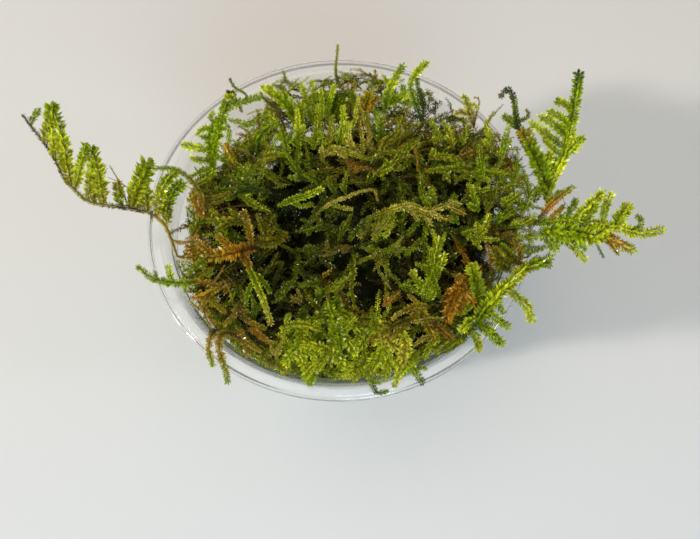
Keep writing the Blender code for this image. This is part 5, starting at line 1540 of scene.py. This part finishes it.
    ("tan olive", 0.6, [(11.5, 6, 3.6), (13.5, 6, 4.6), (16, 5, 4.2)]),
    ("tan rust", 0.35, [(14, 9, 5), (14.5, 5.5, 5), (14.5, 3, 3.6)]),
    ("olive leaf spring", 1.2, [(19.5, 9.5, 3), (19, 12, 5), (18, 15, 6.2)]),
    ("olive spring", 1.2, [(22, 9, 3), (21.5, 12, 5), (20.5, 14.5, 6)]),
    ("leaf olive", 1.1, [(24, 10, 3), (24.5, 12.5, 4.8), (24.5, 16, 6)]),
    ("olive leaf", 1.1, [(17, 6.5, 3), (20, 6, 4), (22.5, 5, 4)]),
    ("leaf leaf spring", 1.2, [(31, 6.5, 2.6), (31.5, 9, 5), (32.5, 12, 6.6)]),
    ("leaf spring", 1.1, [(29.5, 8.5, 3), (29, 11.5, 4.6), (28.5, 14.5, 6)]),
    ("leaf leaf", 1.1, [(27, 2.5, 2.4), (26.5, 5, 4), (26.5, 8, 5)]),
    ("leaf leaf deep", 1.0, [(32, 0.5, 3), (33, 2.5, 5), (32.5, 5, 6.4)]),
    ("leaf leaf", 1.1, [(33, -6, 3), (34.5, -3.5, 4.2), (34.5, -0.5, 5), (34, 2.5, 5.4)]),
    ("leaf spring spring", 1.2, [(-7.5, 9, 3), (-7.5, 11, 6.6), (-7.5, 14, 9.6)]),
    ("leaf spring", 1.2, [(-5, 9, 3), (-4, 11, 6.6), (-3.5, 15, 10)]),
    ("leaf spring spring", 1.3, [(0, 10, 3.4), (1, 12.5, 7), (1, 15.5, 9.6)]),
    ("olive spring", 1.1, [(-2.5, 8.5, 3), (-1.5, 11, 6), (-1, 13.5, 8.6)]),
    ("leaf leaf", 1.2, [(-9.5, 7.5, 2.6), (-10, 9.5, 5.6), (-11, 13, 8)]),
    ("spring straw", 0.8, [(2.5, 13, 5), (3.5, 14.5, 8), (4, 17, 10.4)]),
    ("olive straw spring", 1.0, [(-3.5, 7, 3), (-1, 8, 4.6), (2, 7, 4.6), (5, 6, 3.8)]),
    ("olive leaf", 1.1, [(-15, 9, 2.6), (-12, 8, 4), (-9.5, 7.5, 4)]),
    ("bark tan", 0.5, [(-16, 6.5, 2.4), (-14, 7, 3.6), (-12, 7, 4)]),
    ("leaf leaf spring", 1.2, [(-19.5, 3, 2), (-18.5, 4.5, 3.4), (-17, 6.5, 4)]),
    ("deep leaf", 1.0, [(-2.5, 2, 1.4), (-4.5, 3, 2.6), (-6.5, 4, 3)]),
    ("deep leaf leaf", 1.0, [(0, -1.5, 1.8), (-1.5, 0.5, 3), (-2, 2.5, 3.6)]),
]

# Plain fronds on the mat: slot, root, heading in degrees from +X, length, tints and leaf length.
plainFronds = {
    "shoot_right_upper": ("moss_green", (22.0, 2.2), 4.0, 12.0, "leaf leaf spring", 1.2),
    "shoot_back_middle": ("moss_green", (2.4, 4.4), 92.0, 12.5, "deep olive leaf", 1.2),
    "shoot_back_right": ("moss_green", (10.2, 3.4), 72.0, 12.0, "bark olive leaf", 1.2),
    "shoot_back_far_right": ("moss_green", (17.6, 4.8), 46.0, 12.0, "deep leaf leaf", 1.2),
    "shoot_back_left": ("moss_green", (-6.2, 3.6), 122.0, 9.0, "deep leaf leaf", 1.1),
    "shoot_left_upper": ("moss_deep", (-13.0, 1.6), 172.0, 10.5, "deep deep leaf", 1.2),
    "shoot_left_middle": ("moss_deep", (-15.6, -4.0), 176.0, 10.5, "deep olive leaf", 1.1),
    "shoot_left_lower": ("moss_brown", (-19.6, -15.6), 200.0, 8.0, "bark tan rust", 1.0),
}

# All fronds: how much lighter the standing ones are painted than the lying ones, as painted light, and how
# far a shoot's tint and facing stray
frondLook = {
    "blade": "frondLeaf", "leafSpacing": 0.032, "spread": 64.0, "seed": 60, "leafGrowth": 1.22,
    "taper": 0.85, "standingPaintedLight": 1.26, "lyingPaintedLight": 0.98, "tintJitter": (0.85, 1.12),
    "facingJitter": 0.15,
}

topLook = {
    "leafSeed": 50, "leafGrowth": 0.88, "stem": 0.12, "taper": 0.6, "facingJitter": 0.3,
    "branchedFrom": 0.6,  # shoots with smaller leaves have no side shoots
    "sidePitch": (2.0, 3.2), "sideReach": (1.6, 3.0), "sideLeaf": 0.85,
}

plainLook = {
    "parts": 4, "bow": 0.8, "rootLift": 1.25, "arch": 1.3, "archEnd": 0.7, "stem": 0.18, "sidePitch": 2.2,
    "sideReach": 3.6, "sideLeaf": 0.85,
}


def facingViewer(rng, jitter):
    return (towardsViewer + Vector((rng.gauss(0, jitter), rng.gauss(0, jitter), 0.0))).normalized()


def shaded(names, rng):
    return dimmed([palette[name] for name in names.split()], rng.uniform(*frondLook["tintJitter"]))


def growFrond(shootList, light, rng):
    strands = []
    for names, leaf, stem, route in shootList:
        facing = facingViewer(rng, frondLook["facingJitter"])
        # painted light: standing fronds take lighter tints than lying ones
        tints = dimmed(shaded(names, rng), light)
        size = leaf * frondLook["leafGrowth"]
        strands.append(makeStrand(route, size, tints, facing, stem, frondLook["taper"], fineStep))
    return strands


def growPlainFrond(root, heading, length, names, leaf, rng):
    # a stem that arches along the mat, with side shoots on both sides
    turn = math.radians(heading)
    ahead = Vector((math.cos(turn), math.sin(turn)))
    aside = Vector((-ahead.y, ahead.x))
    route = []
    for part in range(plainLook["parts"] + 1):
        share = part / plainLook["parts"]
        bow = plainLook["bow"] * math.sin(math.pi * share)
        spot = Vector(root) + ahead * (length * share) + aside * bow
        arch = plainLook["arch"] * math.sin(math.pi * min(share, plainLook["archEnd"]))
        route.append((spot.x, spot.y, solidTop(spot.x, spot.y) + (plainLook["rootLift"] + arch)))
    tints = shaded(names, rng)
    return branched(route, leaf, tints, up, rng, plainLook, stem=plainLook["stem"], taper=frondLook["taper"])


def growTopRoutes(rng):
    strands = []
    form = {"stem": topLook["stem"], "taper": topLook["taper"], "step": fineStep}
    for names, leaf, route in topRoutes:
        points = [(x, y, solidTop(x, y) + lift) for x, y, lift in route]
        facing = facingViewer(rng, topLook["facingJitter"])
        size = leaf * topLook["leafGrowth"]
        # painted shade and light, as on the rest of the mat
        tints = dimmed(shaded(names, rng), paintedShadeAt(*route[1][:2]))
        if leaf > topLook["branchedFrom"]:
            strands += branched(points, size, tints, facing, rng, topLook, **form)
        else:
            strands.append(makeStrand(points, size, tints, facing, **form))
    return strands


frondRng = random.Random(frondLook["seed"])
topPiece = leafyPiece("topShoots", growTopRoutes(frondRng), frondLook, topLook["leafSeed"])
dress(topPiece, "moss_tangle")
for table, light in ((fronds, frondLook["standingPaintedLight"]), (matFronds, frondLook["lyingPaintedLight"])):
    for node, (slotName, *shootList) in table.items():
        strands = growFrond(shootList, light, frondRng)
        dress(leafyPiece(node + "_leaves", strands, frondLook, stemSides=6), node)
for node, (slotName, *form) in plainFronds.items():
    strands = growPlainFrond(*form, frondRng)
    dress(leafyPiece(node + "_leaves", strands, frondLook, stemSides=6), node)
print("fronds are grown")


cupPiece = cupSkin()
cupPiece.data.materials.append(cupMaterial())
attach(cupPiece, "root")
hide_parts("cup")
print("cup is ready")


# Floor, light and camera

paper = {
    "reach": 1.2,
    "front": (0.765, 0.79, 0.83),  # the sheet is painted cooler in front of the cup than behind it, as painted light
    "behind": (0.775, 0.765, 0.75), "between": (-0.07, 0.03), "fibreScale": 1600.0, "roughness": 0.8,
    "specular": 0.25, "bump": (0.15, 0.0001),
}


def paperMaterial():
    material, tree, place = newMaterial("whitePaper")
    # painted light: the sheet's colour goes from cool in front of the cup to warm behind it
    across = ranged(tree, axisOf(tree, place, "Y"), paper["between"], (0.0, 1.0))
    fibres = noiseAt(tree, place, paper["fibreScale"])
    setSurface(tree, paper, overlaid(tree, across, paper["front"], paper["behind"]), fibres)
    return material


def makeFloor():
    mesh = bpy.data.meshes.new("paperFloor")
    corners = [(x * paper["reach"], y * paper["reach"], 0.0) for x, y in ((-1, -1), (1, -1), (1, 1), (-1, 1))]
    mesh.from_pydata(corners, [], [(0, 1, 2, 3)])
    mesh.materials.append(paperMaterial())
    item = placed("paperFloor", mesh)


lamps = {
    "key": {"place": (-0.83, -0.27, 0.49), "size": 0.07, "power": 5.7, "colour": (1.0, 0.935, 0.82)},
    "right": {"place": (0.83, -0.22, 0.52), "size": 0.12, "power": 0.5, "colour": (1.0, 0.97, 0.92)},
    "front": {"place": (0.15, -0.9, 0.5), "size": 0.4, "power": 4.1, "colour": (0.60, 0.85, 1.0)},
    "ceiling": {"place": (0.0, 0.08, 1.1), "size": 1.1, "power": 4.75, "colour": (1.0, 0.93, 0.86)},
}

studio = {"aim": (0.0, 0.0, 0.03), "colour": (0.98, 0.92, 0.83), "strength": 0.22}


def makeLights():
    for name, lamp in lamps.items():
        light = bpy.data.lights.new(name, "AREA")
        light.size = lamp["size"]
        light.energy = lamp["power"]
        light.color = lamp["colour"]
        item = placed(name, light)
        item.location = lamp["place"]
        direction = Vector(studio["aim"]) - Vector(lamp["place"])
        item.rotation_euler = direction.to_track_quat("-Z", "Y").to_euler()
    world = bpy.data.worlds.new("studio")
    world.use_nodes = True
    background = world.node_tree.nodes["Background"]
    feed(world.node_tree, background, {"Color": studio["colour"], "Strength": studio["strength"]})
    bpy.context.scene.world = world
    bpy.context.scene.view_settings.view_transform = "Standard"


viewer = {"place": (0.0, -67.0, 160.5), "below": 65.58, "turn": 1.65, "lens": 36.0, "sensor": 36.0,
          "nearest": 0.005}


def makeCamera():
    camera = bpy.data.cameras.new("viewer")
    camera.lens = viewer["lens"]
    camera.sensor_width = viewer["sensor"]
    camera.clip_start = viewer["nearest"]
    item = placed("viewer", camera)
    item.location = Vector(viewer["place"]) * mm
    item.rotation_euler = (math.radians(90.0 - viewer["below"]), 0.0, math.radians(-viewer["turn"]))
    bpy.context.scene.camera = item


makeFloor()
makeLights()
makeCamera()
for blade in ("matLeaf", "frondLeaf"):
    bpy.data.objects.remove(tools[blade], do_unlink=True)
print("stage is set")
